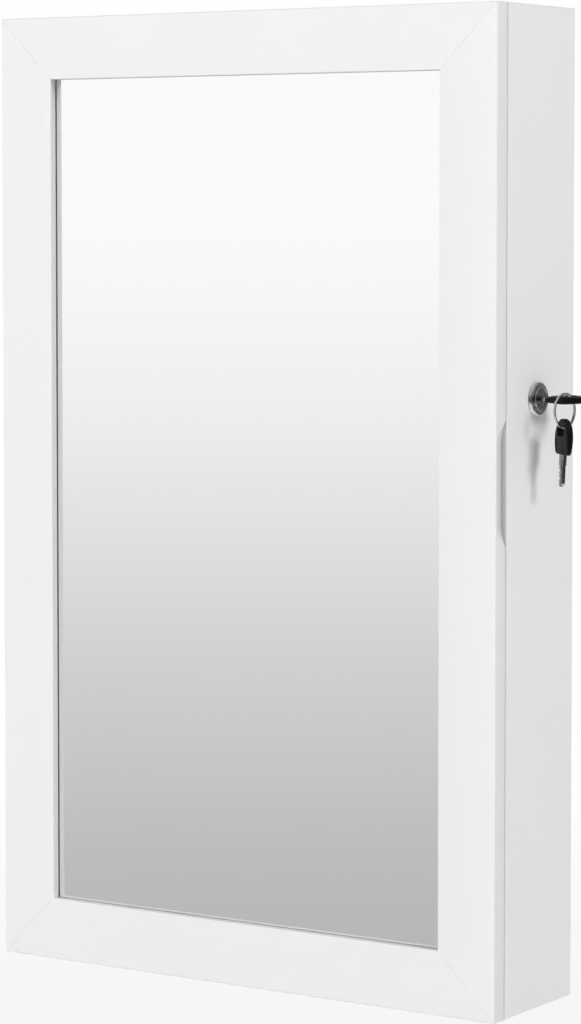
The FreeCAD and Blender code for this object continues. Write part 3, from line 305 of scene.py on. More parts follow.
def metalMaterial(name, metal):
    # plated or plain metal: drawn or turned lines, cloudy plating and brighter edges
    material, tree, shader, place = startMaterial(name, {"Metallic": 1.0})
    lines = placeGroup(tree, linesGroup, place, {"Stretch": metal["stretch"], "Scale": metal["lineScale"]})
    clouds = placeGroup(tree, grainGroup, place,
                        {"Scale": metal["speckScale"], "Cloud Scale": metal["cloudScale"]})
    edges = placeGroup(tree, edgeGroup, place,
                       {"Radius": metal["edgeRadius"], "Strength": metal["edgeStrength"],
                        "Scale": metalEdgeScale})
    plate = blendColours(tree, clouds["Cloud"], metal["dark"], metal["light"])
    streaked = blendColours(tree, calc(tree, "MULTIPLY", lines["Value"], metal["lineShare"]), plate,
                            metal["line"])
    worn = blendColours(tree, edges["Mask"], streaked, metal["edge"])
    tree.links.new(worn, shader.inputs["Base Color"])
    mixed = calc(tree, "MULTIPLY_ADD", lines["Value"], 0.5, calc(tree, "MULTIPLY", clouds["Value"], 0.5))
    rough = remap(tree, mixed, 0.0, 1.0, *metal["roughness"])
    tree.links.new(rough, shader.inputs["Roughness"])
    bumpFrom(tree, shader, lines["Height"], metal["lineHeight"])
    return material


def plasticMaterial(name, plastic):
    # moulded plastic: spark-eroded mould grain, handled edges that have gone shiny, dust in it
    material, tree, shader, place = startMaterial(name, {"IOR": 1.5, "Specular IOR Level": plastic["gloss"]})
    grain = placeGroup(tree, grainGroup, place,
                       {"Scale": plastic["grainScale"], "Cloud Scale": plastic["cloudScale"]})
    edges = placeGroup(tree, edgeGroup, place,
                       {"Radius": plastic["edgeRadius"], "Strength": plastic["edgeStrength"],
                        "Scale": plasticEdgeScale})
    dust = placeGroup(tree, dustGroup, place, {"Amount": plastic["dust"], "Scale": plasticDustScale})
    tint = blendColours(tree, grain["Cloud"], plastic["dark"], plastic["light"])
    handledEdgeAndScoopShade = blendColours(tree, edges["Mask"], tint, plastic["edge"])
    dusty = blendColours(tree, dust["Mask"], handledEdgeAndScoopShade, plastic["dustColour"])
    tree.links.new(dusty, shader.inputs["Base Color"])
    rubbedEdgeAndScoopShade = calc(tree, "MULTIPLY", edges["Mask"], edgeShine)
    rough = calc(tree, "SUBTRACT", remap(tree, grain["Value"], 0.0, 1.0, *plastic["roughness"]), rubbedEdgeAndScoopShade)
    tree.links.new(rough, shader.inputs["Roughness"])
    bumpFrom(tree, shader, grain["Height"], plastic["grainHeight"])
    return material


def boardMaterial(name, board):
    # pressed fibreboard or wood: long fibres along the grain, over cloudy patches
    material, tree, shader, place = startMaterial(name, {"Specular IOR Level": 0.3})
    fibres = placeGroup(tree, linesGroup, place, {"Stretch": board["stretch"], "Scale": board["fibreScale"]})
    clouds = placeGroup(tree, grainGroup, place,
                        {"Scale": board["speckScale"], "Cloud Scale": board["cloudScale"]})
    base = blendColours(tree, clouds["Cloud"], board["dark"], board["light"])
    grained = blendColours(tree, calc(tree, "MULTIPLY", fibres["Value"], board["fibreShare"]), base,
                           board["fibre"])
    tree.links.new(grained, shader.inputs["Base Color"])
    tree.links.new(remap(tree, clouds["Value"], 0.0, 1.0, *board["roughness"]), shader.inputs["Roughness"])
    bumpFrom(tree, shader, fibres["Height"], board["fibreHeight"])
    return material


def mirrorMaterial(name, mirror):
    # silvered glass: a clear face with the faintest wipe marks, green ground edges and a grey painted back
    material, tree, shader, place = startMaterial(name, {"IOR": 1.52})
    depth = addNode(tree, "ShaderNodeSeparateXYZ", {0: place}).outputs["Y"]
    front = calc(tree, "LESS_THAN", depth, mirror["faceY"])
    back = calc(tree, "GREATER_THAN", depth, mirror["backY"])
    body = blendColours(tree, back, mirror["edge"], mirror["backPaint"])
    wipes = placeGroup(tree, linesGroup, place, {"Stretch": (1.0, 1.0, 0.35), "Scale": 9.0})
    inWipe = remap(tree, wipes["Value"], 0.5, 1.0, 0.0, 1.0)
    wiped = blendColours(tree, inWipe, mirror["silver"], mirror["wiped"])
    tree.links.new(blendColours(tree, front, body, wiped), shader.inputs["Base Color"])
    tree.links.new(front, shader.inputs["Metallic"])
    smear = remap(tree, wipes["Value"], 0.55, 1.0, mirror["polish"], mirror["smear"])
    rough = addNode(tree, "ShaderNodeMix", {0: front, 2: 0.35, 3: smear}).outputs[0]
    tree.links.new(rough, shader.inputs["Roughness"])
    return material


# the rim and scoop tints below are painted shade, not a change in the paint
paint = {
    "case_board": {"colour": (0.862, 0.862, 0.862, 1.0), "shade": 0.985, "gloss": 0.45,
                   "roughness": (0.36, 0.46), "peelScale": 420.0, "cloudScale": 7.0, "peelHeight": 0.00004,
                   "edgeRadius": 0.0009, "edgeStrength": 0.5, "edgeColour": grey(0.80), "dust": 0.05,
                   "dustColour": grey(0.72), "rimShadeShare": 0.0, "rimShadeTint": grey(0.93),
                   "scoopShadeTint": grey(0.66)},
    "door_frame": {"colour": (0.885, 0.885, 0.885, 1.0), "shade": 0.987, "gloss": 0.5,
                   "roughness": (0.33, 0.42), "peelScale": 480.0, "cloudScale": 9.0, "peelHeight": 0.00003,
                   "edgeRadius": 0.0009, "edgeStrength": 0.5, "edgeColour": grey(0.83), "dust": 0.05,
                   "dustColour": grey(0.74), "rimShadeShare": 1.0, "rimShadeTint": grey(0.93),
                   "scoopShadeTint": grey(0.66)},
}
velvet = {"dark": (0.005, 0.005, 0.0065, 1.0), "light": (0.016, 0.016, 0.019, 1.0),
          "tip": (0.04, 0.04, 0.046, 1.0), "sheen": 0.5, "sheenRoughness": 0.32,
          "sheenTint": (0.75, 0.76, 0.8, 1.0), "gloss": 0.15, "fibreScale": 2200.0, "patchScale": 14.0,
          "pileHeight": 0.0003}
along = {"x": (0.03, 1.0, 1.0), "z": (1.0, 1.0, 0.03), "none": (1.0, 1.0, 1.0)}
metal = {
    "steel": {"dark": grey(0.42), "light": grey(0.56), "line": grey(0.66), "edge": grey(0.8),
              "lineShare": 0.5, "stretch": along["z"], "lineScale": 2200.0, "lineHeight": 0.00001,
              "speckScale": 900.0, "cloudScale": 60.0, "edgeRadius": 0.0004, "edgeStrength": 1.2,
              "roughness": (0.24, 0.42)},
    "screw_steel": {"dark": grey(0.36), "light": grey(0.55), "line": grey(0.6), "edge": grey(0.82),
                    "lineShare": 0.4, "stretch": along["none"], "lineScale": 3000.0, "lineHeight": 0.00001,
                    "speckScale": 1500.0, "cloudScale": 200.0, "edgeRadius": 0.00025, "edgeStrength": 1.4,
                    "roughness": (0.22, 0.4)},
    "zinc": {"dark": (0.5, 0.51, 0.53, 1.0), "light": (0.68, 0.69, 0.71, 1.0),
             "line": (0.6, 0.62, 0.66, 1.0), "edge": grey(0.85), "lineShare": 0.35, "stretch": along["z"],
             "lineScale": 1600.0, "lineHeight": 0.000012, "speckScale": 1100.0, "cloudScale": 110.0,
             "edgeRadius": 0.0004, "edgeStrength": 1.2, "roughness": (0.26, 0.45)},
    "lock_chrome": {"dark": grey(0.5), "light": grey(0.88), "line": grey(0.7), "edge": grey(0.92),
                    "lineShare": 0.3, "stretch": along["x"], "lineScale": 1800.0, "lineHeight": 0.000012,
                    "speckScale": 700.0, "cloudScale": 330.0, "edgeRadius": 0.0005, "edgeStrength": 1.5,
                    "roughness": (0.12, 0.3)},
    "plug_metal": {"dark": grey(0.2), "light": grey(0.62), "line": grey(0.45), "edge": grey(0.85),
                   "lineShare": 0.3, "stretch": along["x"], "lineScale": 1800.0, "lineHeight": 0.00001,
                   "speckScale": 700.0, "cloudScale": 420.0, "edgeRadius": 0.0004, "edgeStrength": 1.5,
                   "roughness": (0.14, 0.32)},
    "ring_wire": {"dark": grey(0.6), "light": grey(0.85), "line": grey(0.9), "edge": grey(0.95),
                  "lineShare": 0.4, "stretch": along["none"], "lineScale": 2400.0, "lineHeight": 0.000004,
                  "speckScale": 1200.0, "cloudScale": 300.0, "edgeRadius": 0.0003, "edgeStrength": 1.0,
                  "roughness": (0.14, 0.26)},
    "key_steel": {"dark": grey(0.28), "light": grey(0.52), "line": grey(0.58), "edge": grey(0.72),
                  "lineShare": 0.35, "stretch": along["x"], "lineScale": 2400.0, "lineHeight": 0.000008,
                  "speckScale": 1200.0, "cloudScale": 260.0, "edgeRadius": 0.0003, "edgeStrength": 1.4,
                  "roughness": (0.16, 0.32)},
    "rod_chrome": {"dark": grey(0.68), "light": grey(0.78), "line": grey(0.8), "edge": grey(0.88),
                   "lineShare": 0.2, "stretch": along["x"], "lineScale": 1500.0, "lineHeight": 0.000003,
                   "speckScale": 600.0, "cloudScale": 40.0, "edgeRadius": 0.0004, "edgeStrength": 0.8,
                   "roughness": (0.05, 0.14)},
}
plastic = {
    "key_plastic": {"dark": grey(0.0018), "light": grey(0.005), "edge": grey(0.012),
                    "dustColour": grey(0.05), "gloss": 0.24, "roughness": (0.36, 0.55), "grainScale": 2600.0,
                    "cloudScale": 260.0, "grainHeight": 0.00005, "edgeRadius": 0.0008, "edgeStrength": 1.0,
                    "dust": 0.08},
    "white_plastic": {"dark": grey(0.8), "light": (0.86, 0.86, 0.84, 1.0), "edge": grey(0.9),
                      "dustColour": grey(0.6), "gloss": 0.5, "roughness": (0.3, 0.45), "grainScale": 1800.0,
                      "cloudScale": 60.0, "grainHeight": 0.00003, "edgeRadius": 0.0005, "edgeStrength": 0.6,
                      "dust": 0.08},
    "bumper": {"dark": grey(0.66), "light": grey(0.78), "edge": grey(0.86), "dustColour": grey(0.5),
               "gloss": 0.6, "roughness": (0.2, 0.34), "grainScale": 1500.0, "cloudScale": 120.0,
               "grainHeight": 0.00002, "edgeRadius": 0.0006, "edgeStrength": 0.5, "dust": 0.1},
    "tape": {"dark": grey(0.02), "light": grey(0.045), "edge": grey(0.05), "dustColour": grey(0.2),
             "gloss": 0.2, "roughness": (0.8, 0.95), "grainScale": 3200.0, "cloudScale": 300.0,
             "grainHeight": 0.0002, "edgeRadius": 0.0004, "edgeStrength": 0.2, "dust": 0.1},
    "magnet": {"dark": grey(0.05), "light": grey(0.1), "edge": grey(0.2), "dustColour": grey(0.2),
               "gloss": 0.4, "roughness": (0.45, 0.6), "grainScale": 2400.0, "cloudScale": 300.0,
               "grainHeight": 0.00006, "edgeRadius": 0.0004, "edgeStrength": 1.0, "dust": 0.05},
}
board = {
    "beech": {"dark": (0.42, 0.24, 0.11, 1.0), "light": (0.58, 0.37, 0.2, 1.0),
              "fibre": (0.3, 0.16, 0.07, 1.0), "fibreShare": 0.35, "stretch": along["x"],
              "fibreScale": 1400.0, "speckScale": 900.0, "cloudScale": 60.0, "roughness": (0.5, 0.7),
              "fibreHeight": 0.00006},
    "back_board": {"dark": (0.72, 0.715, 0.7, 1.0), "light": (0.78, 0.775, 0.76, 1.0),
                   "fibre": (0.6, 0.58, 0.54, 1.0), "fibreShare": 0.25, "stretch": (1.0, 1.0, 0.2),
                   "fibreScale": 900.0, "speckScale": 1300.0, "cloudScale": 25.0, "roughness": (0.45, 0.62),
                   "fibreHeight": 0.00005},
}
glassLow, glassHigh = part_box("mirror_glass")
mirror = {"faceY": glassLow.y + 0.0002, "backY": glassHigh.y - 0.0002, "silver": (0.968, 0.97, 0.968, 1.0),
          "edge": (0.12, 0.3, 0.24, 1.0), "backPaint": (0.25, 0.26, 0.27, 1.0),
          "wiped": (0.96, 0.962, 0.96, 1.0), "polish": 0.0, "smear": 0.0006}

finishes = {"velvet": velvetMaterial("velvet", velvet), "mirror": mirrorMaterial("mirror", mirror)}
makers = ((paintMaterial, paint), (metalMaterial, metal), (plasticMaterial, plastic), (boardMaterial, board))
for maker, recipes in makers:
    for name, recipe in recipes.items():
        finishes[name] = maker(name, recipe)

slotOfNode = {row["node"]: row["material_slot"] for row in frame["record"]["subparts"]}
for node, piece in frame["nodes"].items():
    piece.data.materials.clear()
    # the plug keeps its slot's name, and only its finish is darker
    piece.data.materials.append(finishes["plug_metal" if node == "lock_plug" else slotOfNode[node]])
print("finishes given to", len(slotOfNode), "pieces")

# surfaces worked out on grids


def gridPiece(name, rows, slot, body, crease=None, marks=None):
    # rows is an array (rows, points round, 3): rings in order, each one closed; both ends close on their
    # middles, or with a crease angle by one flat face each; edges sharper than that angle are shaded as
    # edges; marks holds named values for the points, which a material can read
    count, around, _ = rows.shape
    inner = rows - rows.mean((0, 1))
    ahead = np.roll(inner, -1, 1)
    faces = np.cross(ahead[:-1], ahead[1:]) + np.cross(ahead[1:], inner[1:])
    volume = np.einsum("ijk,ijk", inner[:-1], faces)
    marks = marks or {}
    if volume < 0:
        rows = rows[:, ::-1]
        marks = {label: values[:, ::-1] for label, values in marks.items()}
    points = np.concatenate([rows.reshape(-1, 3), rows[:1].mean(1), rows[-1:].mean(1)])
    i, j = np.meshgrid(np.arange(count - 1), np.arange(around), indexing="ij")
    k = (j + 1) % around
    here, beyond = i * around, (i + 1) * around
    sides = np.stack([here + j, here + k, beyond + k, beyond + j], -1).reshape(-1, 4)
    ring = np.arange(around)
    after = (ring + 1) % around
    first = np.stack([np.full(around, count * around), after, ring], -1)
    end = (count - 1) * around
    last = np.stack([np.full(around, count * around + 1), end + ring, end + after], -1)
    ends = first.tolist() + last.tolist()
    if crease:
        points = points[:-2]
        ends = [ring[::-1].tolist(), (end + ring).tolist()]
    mesh = bpy.data.meshes.new(name)
    mesh.from_pydata(points.tolist(), [], sides.tolist() + ends)
    mesh.validate()
    mesh.polygons.foreach_set("use_smooth", np.full(len(mesh.polygons), True))
    if crease:
        mesh.set_sharp_from_angle(angle=math.radians(crease))
    for label, values in marks.items():
        mark = mesh.attributes.new(label, "FLOAT", "POINT")
        mark.data.foreach_set("value", np.ascontiguousarray(values.ravel(), dtype=np.float32))
    mesh.materials.append(finishes[slot])
    piece = bpy.data.objects.new(name, mesh)
    bpy.context.scene.collection.objects.link(piece)
    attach(piece, body)
    return piece


# the right stile, whose rear edge falls away in a shallow scoop for the fingers
stile = {"width": 0.039, "depth": 0.012, "lip": 0.0052, "rebate": 0.0075, "round": 0.0012,
         "mitreGroove": 0.0003, "scoopMiddle": 0.3185, "scoopLength": 0.075, "scoopDeep": 0.0031,
         "scoopCurve": 1.25, "scoopEnd": 0.014, "scoopFrom": 0.0005, "backRound": 0.5, "innerRound": 0.6,
         "backPoint": 0.012, "sideBand": 0.002, "scoopShadeCurve": 0.8, "sideSteps": 26, "nearSteps": 111,
         "farSteps": 8, "nearReach": 0.55, "nearMargin": 0.01, "farMargin": 0.02, "crease": 28}


def cornerArc(w, d, radius, start, count):
    # a quarter circle about (w, d), from the start angle in quarter turns
    angle = np.linspace(start, start + 1, count) * np.pi / 2
    return np.stack([w + radius * np.cos(angle), d + radius * np.sin(angle)], -1)


def scoopedStile(low, high, stile):
    # the section is an L with rounded corners, given as (distance in from the outer side, distance behind
    # the front); it runs the whole height and is sheared at both ends into the mitres; along the scoop
    # the outer side sinks by scoopDeep times (reach - toEnd squared), held between 0 and 1, where reach
    # is the share of the way behind the front to a power, and toEnd the share of the way into a rounded
    # end
    width, depth, corner = stile["width"], stile["depth"], stile["round"]
    small, inner = corner * stile["backRound"], corner * stile["innerRound"]
    rebate = width - stile["rebate"]
    side = np.linspace(depth - small, corner, stile["sideSteps"])[1:-1]
    section = np.concatenate([
        cornerArc(small, depth - small, small, 1, 5),
        np.stack([np.zeros_like(side), side], -1),
        cornerArc(corner, corner, corner, 2, 7),
        cornerArc(width - inner, inner, inner, 3, 6),
        [(width, stile["lip"]), (rebate, stile["lip"]), (rebate, depth), (stile["backPoint"], depth)],
    ])
    inward, behind = section.T
    length = high[2] - low[2]
    middle = low[2] + stile["scoopMiddle"]
    reachOut = stile["nearReach"]
    near = np.linspace(-reachOut, reachOut, stile["nearSteps"]) * stile["scoopLength"] + middle - low[2]
    groove = stile["mitreGroove"]
    beside, margin, steps = stile["nearMargin"], stile["farMargin"], stile["farSteps"]
    below = np.linspace(margin, near[0] - beside, steps)
    above = np.linspace(near[-1] + beside, length - margin, steps)
    levels = np.concatenate([[0, groove], below, near, above, [length - groove, length]])
    t = levels / length * 2 - 1
    z = (low[2] + high[2]) / 2 + t[:, None] * (length / 2 - inward)
    toEnd = np.clip((np.abs(z - middle) - stile["scoopLength"] / 2) / stile["scoopEnd"] + 1, 0, 1)
    span = depth - stile["scoopFrom"]
    reach = np.clip((behind - stile["scoopFrom"]) / span, 0, 1) ** stile["scoopCurve"]
    scooped = np.clip(reach - toEnd ** 2, 0, 1)
    onSide = inward < stile["sideBand"]
    sink = stile["scoopDeep"] * scooped * onSide
    atEnds = np.isin(np.arange(len(t)), (0, len(t) - 1))[:, None] * (behind < corner) * groove
    x = high[0] - inward - sink
    y = low[1] + behind + atEnds
    # the mark that the paint reads as painted shade in the scoop: 1 where the side has sunk furthest, none
    # off the side
    handledEdgeAndScoopShade = scooped ** stile["scoopShadeCurve"] * onSide
    return np.stack([x, y, z], -1), handledEdgeAndScoopShade


stileLow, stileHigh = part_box("door_stile_right")
rows, handledEdgeAndScoopShade = scoopedStile(stileLow, stileHigh, stile)
scooped = gridPiece("scooped_stile", rows, "door_frame", "door", crease=stile["crease"],
                    marks={"handledEdgeAndScoopShade": handledEdgeAndScoopShade})
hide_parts("door_stile_right")
print("stile with its finger scoop made")

# velvet pieces: padded linings on the case's back and on the door's back, and the ring tray
linings = {
    "case_lining": {"replaces": "back_lining", "body": "case", "outward": -1, "corner": 0.002,
                    "roll": 0.0016, "wave": 0.00028, "seed": 21},
    "door_pad": {"replaces": "door_lining", "body": "door", "outward": 1, "corner": 0.004, "roll": 0.0019,
                 "wave": 0.00028, "seed": 22},
}
tray = {"replaces": "ring_tray", "body": "case", "corner": 0.0025, "wall": 0.004, "floor": 0.003,
        "rim": 0.0016, "rimSteps": 13, "floorSteps": 12, "floorEnd": 0.001,
        "foot": ((0.0003, 0.0001), (0.0, 0.0006)), "crease": 40}
middleGap = 0.0004  # half the length of the innermost ring's short side
leastCorner = 0.0002
padGrid = {"faceEnd": 1.2, "faceSteps": 36, "edgeSteps": 7}
padRates = (70, 95, 150)


def squareRing(halfX, halfZ, corner, perSide=34, perCorner=7):
    # points round a rectangle with rounded corners: four quarter circles, with straight sides between them
    parts = [cornerArc(signX * (halfX - corner), signZ * (halfZ - corner), corner, turn, perCorner)
             for turn, (signX, signZ) in enumerate(((1, 1), (-1, 1), (-1, -1), (1, -1)))]
    joined = []
    for arc, following in zip(parts, parts[1:] + parts[:1]):
        share = np.linspace(0, 1, perSide)[1:-1, None]
        joined += [arc, arc[-1] * (1 - share) + following[0] * share]
    return np.concatenate(joined)


def ringLoft(low, high, outward, path, corner):
    # rounded rectangles one inside another: each has its inset from the border and its height above the base
    low, high = np.array(low), np.array(high)
    centre, half = (low + high) / 2, (high - low) / 2
    base = low[1] if outward > 0 else high[1]
    rows = []
    for inset, rise in path:
        ring = squareRing(half[0] - inset, half[2] - inset, max(corner - inset, leastCorner))
        y = np.full(len(ring), base + outward * rise)
        rows.append(np.stack([centre[0] + ring[:, 0], y, centre[2] + ring[:, 1]], -1))
    return np.array(rows)


def padPath(half, thick, roll):
    # from the middle of the face out to the border, over a quarter-round edge, and back to the middle of
    # the base
    inner = half - middleGap
    faces = [(inset, thick) for inset in np.linspace(inner, roll * padGrid["faceEnd"], padGrid["faceSteps"])]
    angle = np.linspace(0, np.pi / 2, padGrid["edgeSteps"])
    edge = list(zip(roll * (1 - np.sin(angle)), thick - roll * (1 - np.cos(angle))))
    return faces + edge + [(0.0, 0.0), (inner, 0.0)]


def padWaves(rows, outward, lining):
    # slow hollows in the face: depth = wave * (0.5 + the mean of three sine waves in seeded directions), held
    # between 0 and 1 before it is scaled, and none at the edges
    random = np.random.default_rng(lining["seed"])
    heading = random.uniform(0, np.pi, 3)
    phase = random.uniform(0, 2 * np.pi, 3)
    x, z = rows[..., 0], rows[..., 2]
    waves = zip(padRates, heading, phase)
    sway = sum(np.sin(rate * (x * np.cos(a) + z * np.sin(a)) + p) for rate, a, p in waves)
    face = rows[:, :1, 1].mean(1) * outward
    onFace = (face >= face.max() - 1e-6)[:, None]
    rows[..., 1] -= outward * lining["wave"] * np.clip(0.5 + sway / 3, 0, 1) * onFace
    return rows


for name, lining in linings.items():
    low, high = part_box(lining["replaces"])
    thick = high.y - low.y
    path = padPath((high.x - low.x) / 2, thick, lining["roll"])
    rows = ringLoft(low, high, lining["outward"], path, lining["corner"])
    rows = padWaves(rows, lining["outward"], lining)
    pad = gridPiece(name, rows, "velvet", lining["body"])
    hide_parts(lining["replaces"])
print("linings padded")


def trayPath(half, tall, tray):
    # from the middle of the floor out to the wall, up it, over a rounded rim, down the outside, and along
    # the back
    wall, rim, inner = tray["wall"], tray["rim"], half - middleGap
    angle = np.linspace(0, np.pi, tray["rimSteps"])
    over = list(zip(wall / 2 + wall / 2 * np.cos(angle), tall - rim + rim * np.sin(angle)))
    insets = np.linspace(inner, wall + tray["floorEnd"], tray["floorSteps"])
    floor = [(inset, tray["floor"]) for inset in insets]
    foot = [(wall + out, tray["floor"] + up) for out, up in tray["foot"]]
    return floor + foot + over + [(0.0, 0.0), (inner, 0.0)]


low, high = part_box(tray["replaces"])
path = trayPath((high.z - low.z) / 2, high.y - low.y, tray)
rows = ringLoft(low, high, -1, path, tray["corner"])
velvetTray = gridPiece("velvet_tray", rows, "velvet", tray["body"], crease=tray["crease"])
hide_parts(tray["replaces"])
print("ring tray made")

# earring boards: the CAD boards with their covering turned over every edge
coveredBoards = {"replaces": "earring_boards", "body": "case", "turn": 0.0006, "segments": 2, "sharp": 60}


def coveredCopy(name, cover):
    # a copy of a node, with its triangles merged into faces and a small bevel along its edges
    mesh = frame["nodes"][cover["replaces"]].data.copy()
    mesh.name = name
    shape = bmesh.new()
    shape.from_mesh(mesh)
    bmesh.ops.remove_doubles(shape, verts=shape.verts, dist=1e-6)
    bmesh.ops.dissolve_limit(shape, angle_limit=0.02, verts=shape.verts, edges=shape.edges)
    shape.to_mesh(mesh)
    shape.free()
    piece = bpy.data.objects.new(name, mesh)
    bpy.context.scene.collection.objects.link(piece)
    bevel = piece.modifiers.new("turned edge", "BEVEL")
    bevel.width = cover["turn"]
    bevel.segments = cover["segments"]
    bevel.limit_method = "ANGLE"
    bevel.angle_limit = math.radians(cover["sharp"])
    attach(piece, cover["body"])
    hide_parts(cover["replaces"])


coveredCopy("covered_boards", coveredBoards)
print("earring boards covered")

# soft rolls that grip rings between them
rolls = {"count": 6, "endRound": 0.0032, "squareness": 2.5, "pleats": 11, "pleatDepth": 0.05,
         "pleatReach": 0.0055, "wave": 0.00022, "waveRates": (95, 211), "quickShare": 0.6,
         "leastRound": 0.0225, "leastSize": 0.02, "around": 56, "alongSteps": 120, "seed": 7}


def softRoll(low, high, roll, random):
    # a stuffed tube: ring radius = superellipse of the angle, rounded off near each end, pleated there,
    # gently wavy
    centre = (np.array(low) + np.array(high)) / 2
    half = (np.array(high) - np.array(low)) / 2
    t = np.linspace(0.0, 1.0, roll["alongSteps"])
    x = half[0] * -np.cos(np.pi * t)
    toEnd = half[0] - np.abs(x)
    angle = np.linspace(0.0, 2 * np.pi, roll["around"], endpoint=False)
    power = roll["squareness"]
    shape = (np.abs(np.cos(angle)) ** power + np.abs(np.sin(angle)) ** power) ** (-1 / power)
    inEnd = 1 - np.clip(toEnd / roll["endRound"], 0, 1)
    rounding = np.sqrt(np.clip(1 - inEnd ** 2, roll["leastRound"], 1))
    gathered = roll["pleatDepth"] * np.exp(-toEnd / roll["pleatReach"])[:, None]
    pleat = 1 - gathered * (1 + np.cos(roll["pleats"] * angle))
    # four draws for each roll, of which the first three are used: the next roll's draws follow on them
    phases = random.uniform(0, 2 * np.pi, 4)
    slow, quick = roll["waveRates"]
    wave = roll["wave"] * (np.sin(slow * x + phases[0]) + roll["quickShare"] * np.sin(quick * x + phases[1]))
    turn = 1 + 0.5 * np.cos(angle - phases[2])
    size = rounding[:, None] * pleat * shape / shape.max() - np.clip(wave, -1, 1)[:, None] * turn / half[1]
    size = np.clip(size, roll["leastSize"], 1.0)
    y = half[1] * size * np.cos(angle)
    z = half[2] * size * np.sin(angle)
    return np.stack([np.broadcast_to(x[:, None], y.shape), y, z], -1) + centre


rollLow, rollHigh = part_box("ring_rolls")
random = np.random.default_rng(rolls["seed"])
rollPitch = (rollHigh.z - rollLow.z) / rolls["count"]
for index in range(rolls["count"]):
    low = (rollLow.x, rollLow.y, rollLow.z + index * rollPitch)
    high = (rollHigh.x, rollHigh.y, rollLow.z + (index + 1) * rollPitch)
    roll = gridPiece("ring_roll_%d" % (index + 1), softRoll(low, high, rolls, random), "velvet", "case")
    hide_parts("ring_rolls")
print("soft rolls made:", rolls["count"])

# the split ring that joins the two keys
splitRing = {"radius": 0.01015, "plane": 84.0, "turns": 2.0, "thickness": 0.00068, "breadth": 0.00118,
             "gap": 0.00073, "stepAngle": 0.42, "startAngle": 2.45, "around": 16, "steps": 360,
             "tipLength": 0.16, "leastTaper": 0.04, "squareness": 4}


def coiledRing(centre, ring):
    # a flat wire wound twice round the circle: place = centre + radius * outward + aside * normal, where
    # aside steps over by the gap, half way along; the section is a superellipse that tapers towards both
    # tips
    t = np.linspace(0.0, 1.0, ring["steps"])
    sweep = t * ring["turns"] * 2 * np.pi
    step = np.clip((sweep - 2 * np.pi) / ring["stepAngle"] * 0.5 + 0.5, 0, 1)
    aside = (step * step * (3 - 2 * step) - 0.5) * ring["gap"]
    angle = sweep + ring["startAngle"]
    flat = math.radians(ring["plane"])
    across = np.array([math.cos(flat), math.sin(flat), 0.0])
    normal = np.array([math.sin(flat), -math.cos(flat), 0.0])
    outward = np.cos(angle)[:, None] * across + np.sin(angle)[:, None] * np.array([0.0, 0.0, 1.0])
    middle = np.array(centre) + ring["radius"] * outward + aside[:, None] * normal
    toEnd = np.minimum(sweep, sweep[-1] - sweep)
    taper = np.sqrt(np.clip(1 - (1 - np.clip(toEnd / ring["tipLength"], 0, 1)) ** 2, ring["leastTaper"], 1))
    section = np.linspace(0.0, 2 * np.pi, ring["around"], endpoint=False)
    power = ring["squareness"]
    square = (np.abs(np.cos(section)) ** power + np.abs(np.sin(section)) ** power) ** (-1 / power)
    u = 0.5 * ring["breadth"] * square * np.cos(section)
    v = 0.5 * ring["thickness"] * square * np.sin(section)
    return middle[:, None] + taper[:, None, None] * (u[:, None] * outward[:, None] + v[:, None] * normal)


ringLow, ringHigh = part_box("key_ring")
keyRing = gridPiece("split_ring", coiledRing((ringLow + ringHigh) / 2, splitRing), "key_steel", "ring")
keyRing.data.materials[0] = finishes["ring_wire"]
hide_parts("key_ring")
print("split ring wound")

# camera, light and floor

camera = {"place": (1.21289, -1.85835, -0.06759), "turn": 33.63, "tilt": 3.43, "lens": 123.24,
          "sensor": 36.0, "shiftY": -0.0954, "clip": 0.05}
cameraData = bpy.data.cameras.new("camera")
cameraData.lens = camera["lens"]
cameraData.sensor_width = camera["sensor"]
cameraData.shift_y = camera["shiftY"]
cameraData.clip_start = camera["clip"]
cameraObject = bpy.data.objects.new("camera", cameraData)
cameraObject.location = camera["place"]
cameraObject.rotation_euler = (math.radians(90 - camera["tilt"]), 0, math.radians(camera["turn"]))
bpy.context.scene.collection.objects.link(cameraObject)
bpy.context.scene.camera = cameraObject

softboxes = {
    "side_softbox": {"place": (5.72, -1.2, 2.75), "aim": (0.18, -0.05, -0.25), "size": (1.9, 1.9),
                     "power": 213.0},
    "front_softbox": {"place": (-2.1, -5.3, 1.5), "aim": (0.0, -0.09, -0.25), "size": (3.6, 3.6),
                      "power": 181.0},
    "rear_softbox": {"place": (-2.6, 5.2, 0.6), "aim": (0.0, 0.0, -0.25), "size": (3.6, 3.6), "power": 190.0},
}
for name, box in softboxes.items():
    lamp = bpy.data.lights.new(name, "AREA")
    lamp.shape = "RECTANGLE"
    lamp.size, lamp.size_y = box["size"]
    lamp.energy = box["power"]
    lampObject = bpy.data.objects.new(name, lamp)
    lampObject.location = box["place"]
    toAim = np.array(box["aim"]) - np.array(box["place"])
    turnZ = math.atan2(toAim[0], -toAim[1])
    turnX = math.acos(-toAim[2] / np.linalg.norm(toAim))
    lampObject.rotation_euler = (turnX, 0, math.pi + turnZ)
    lampObject.visible_glossy = False
    bpy.context.scene.collection.objects.link(lampObject)

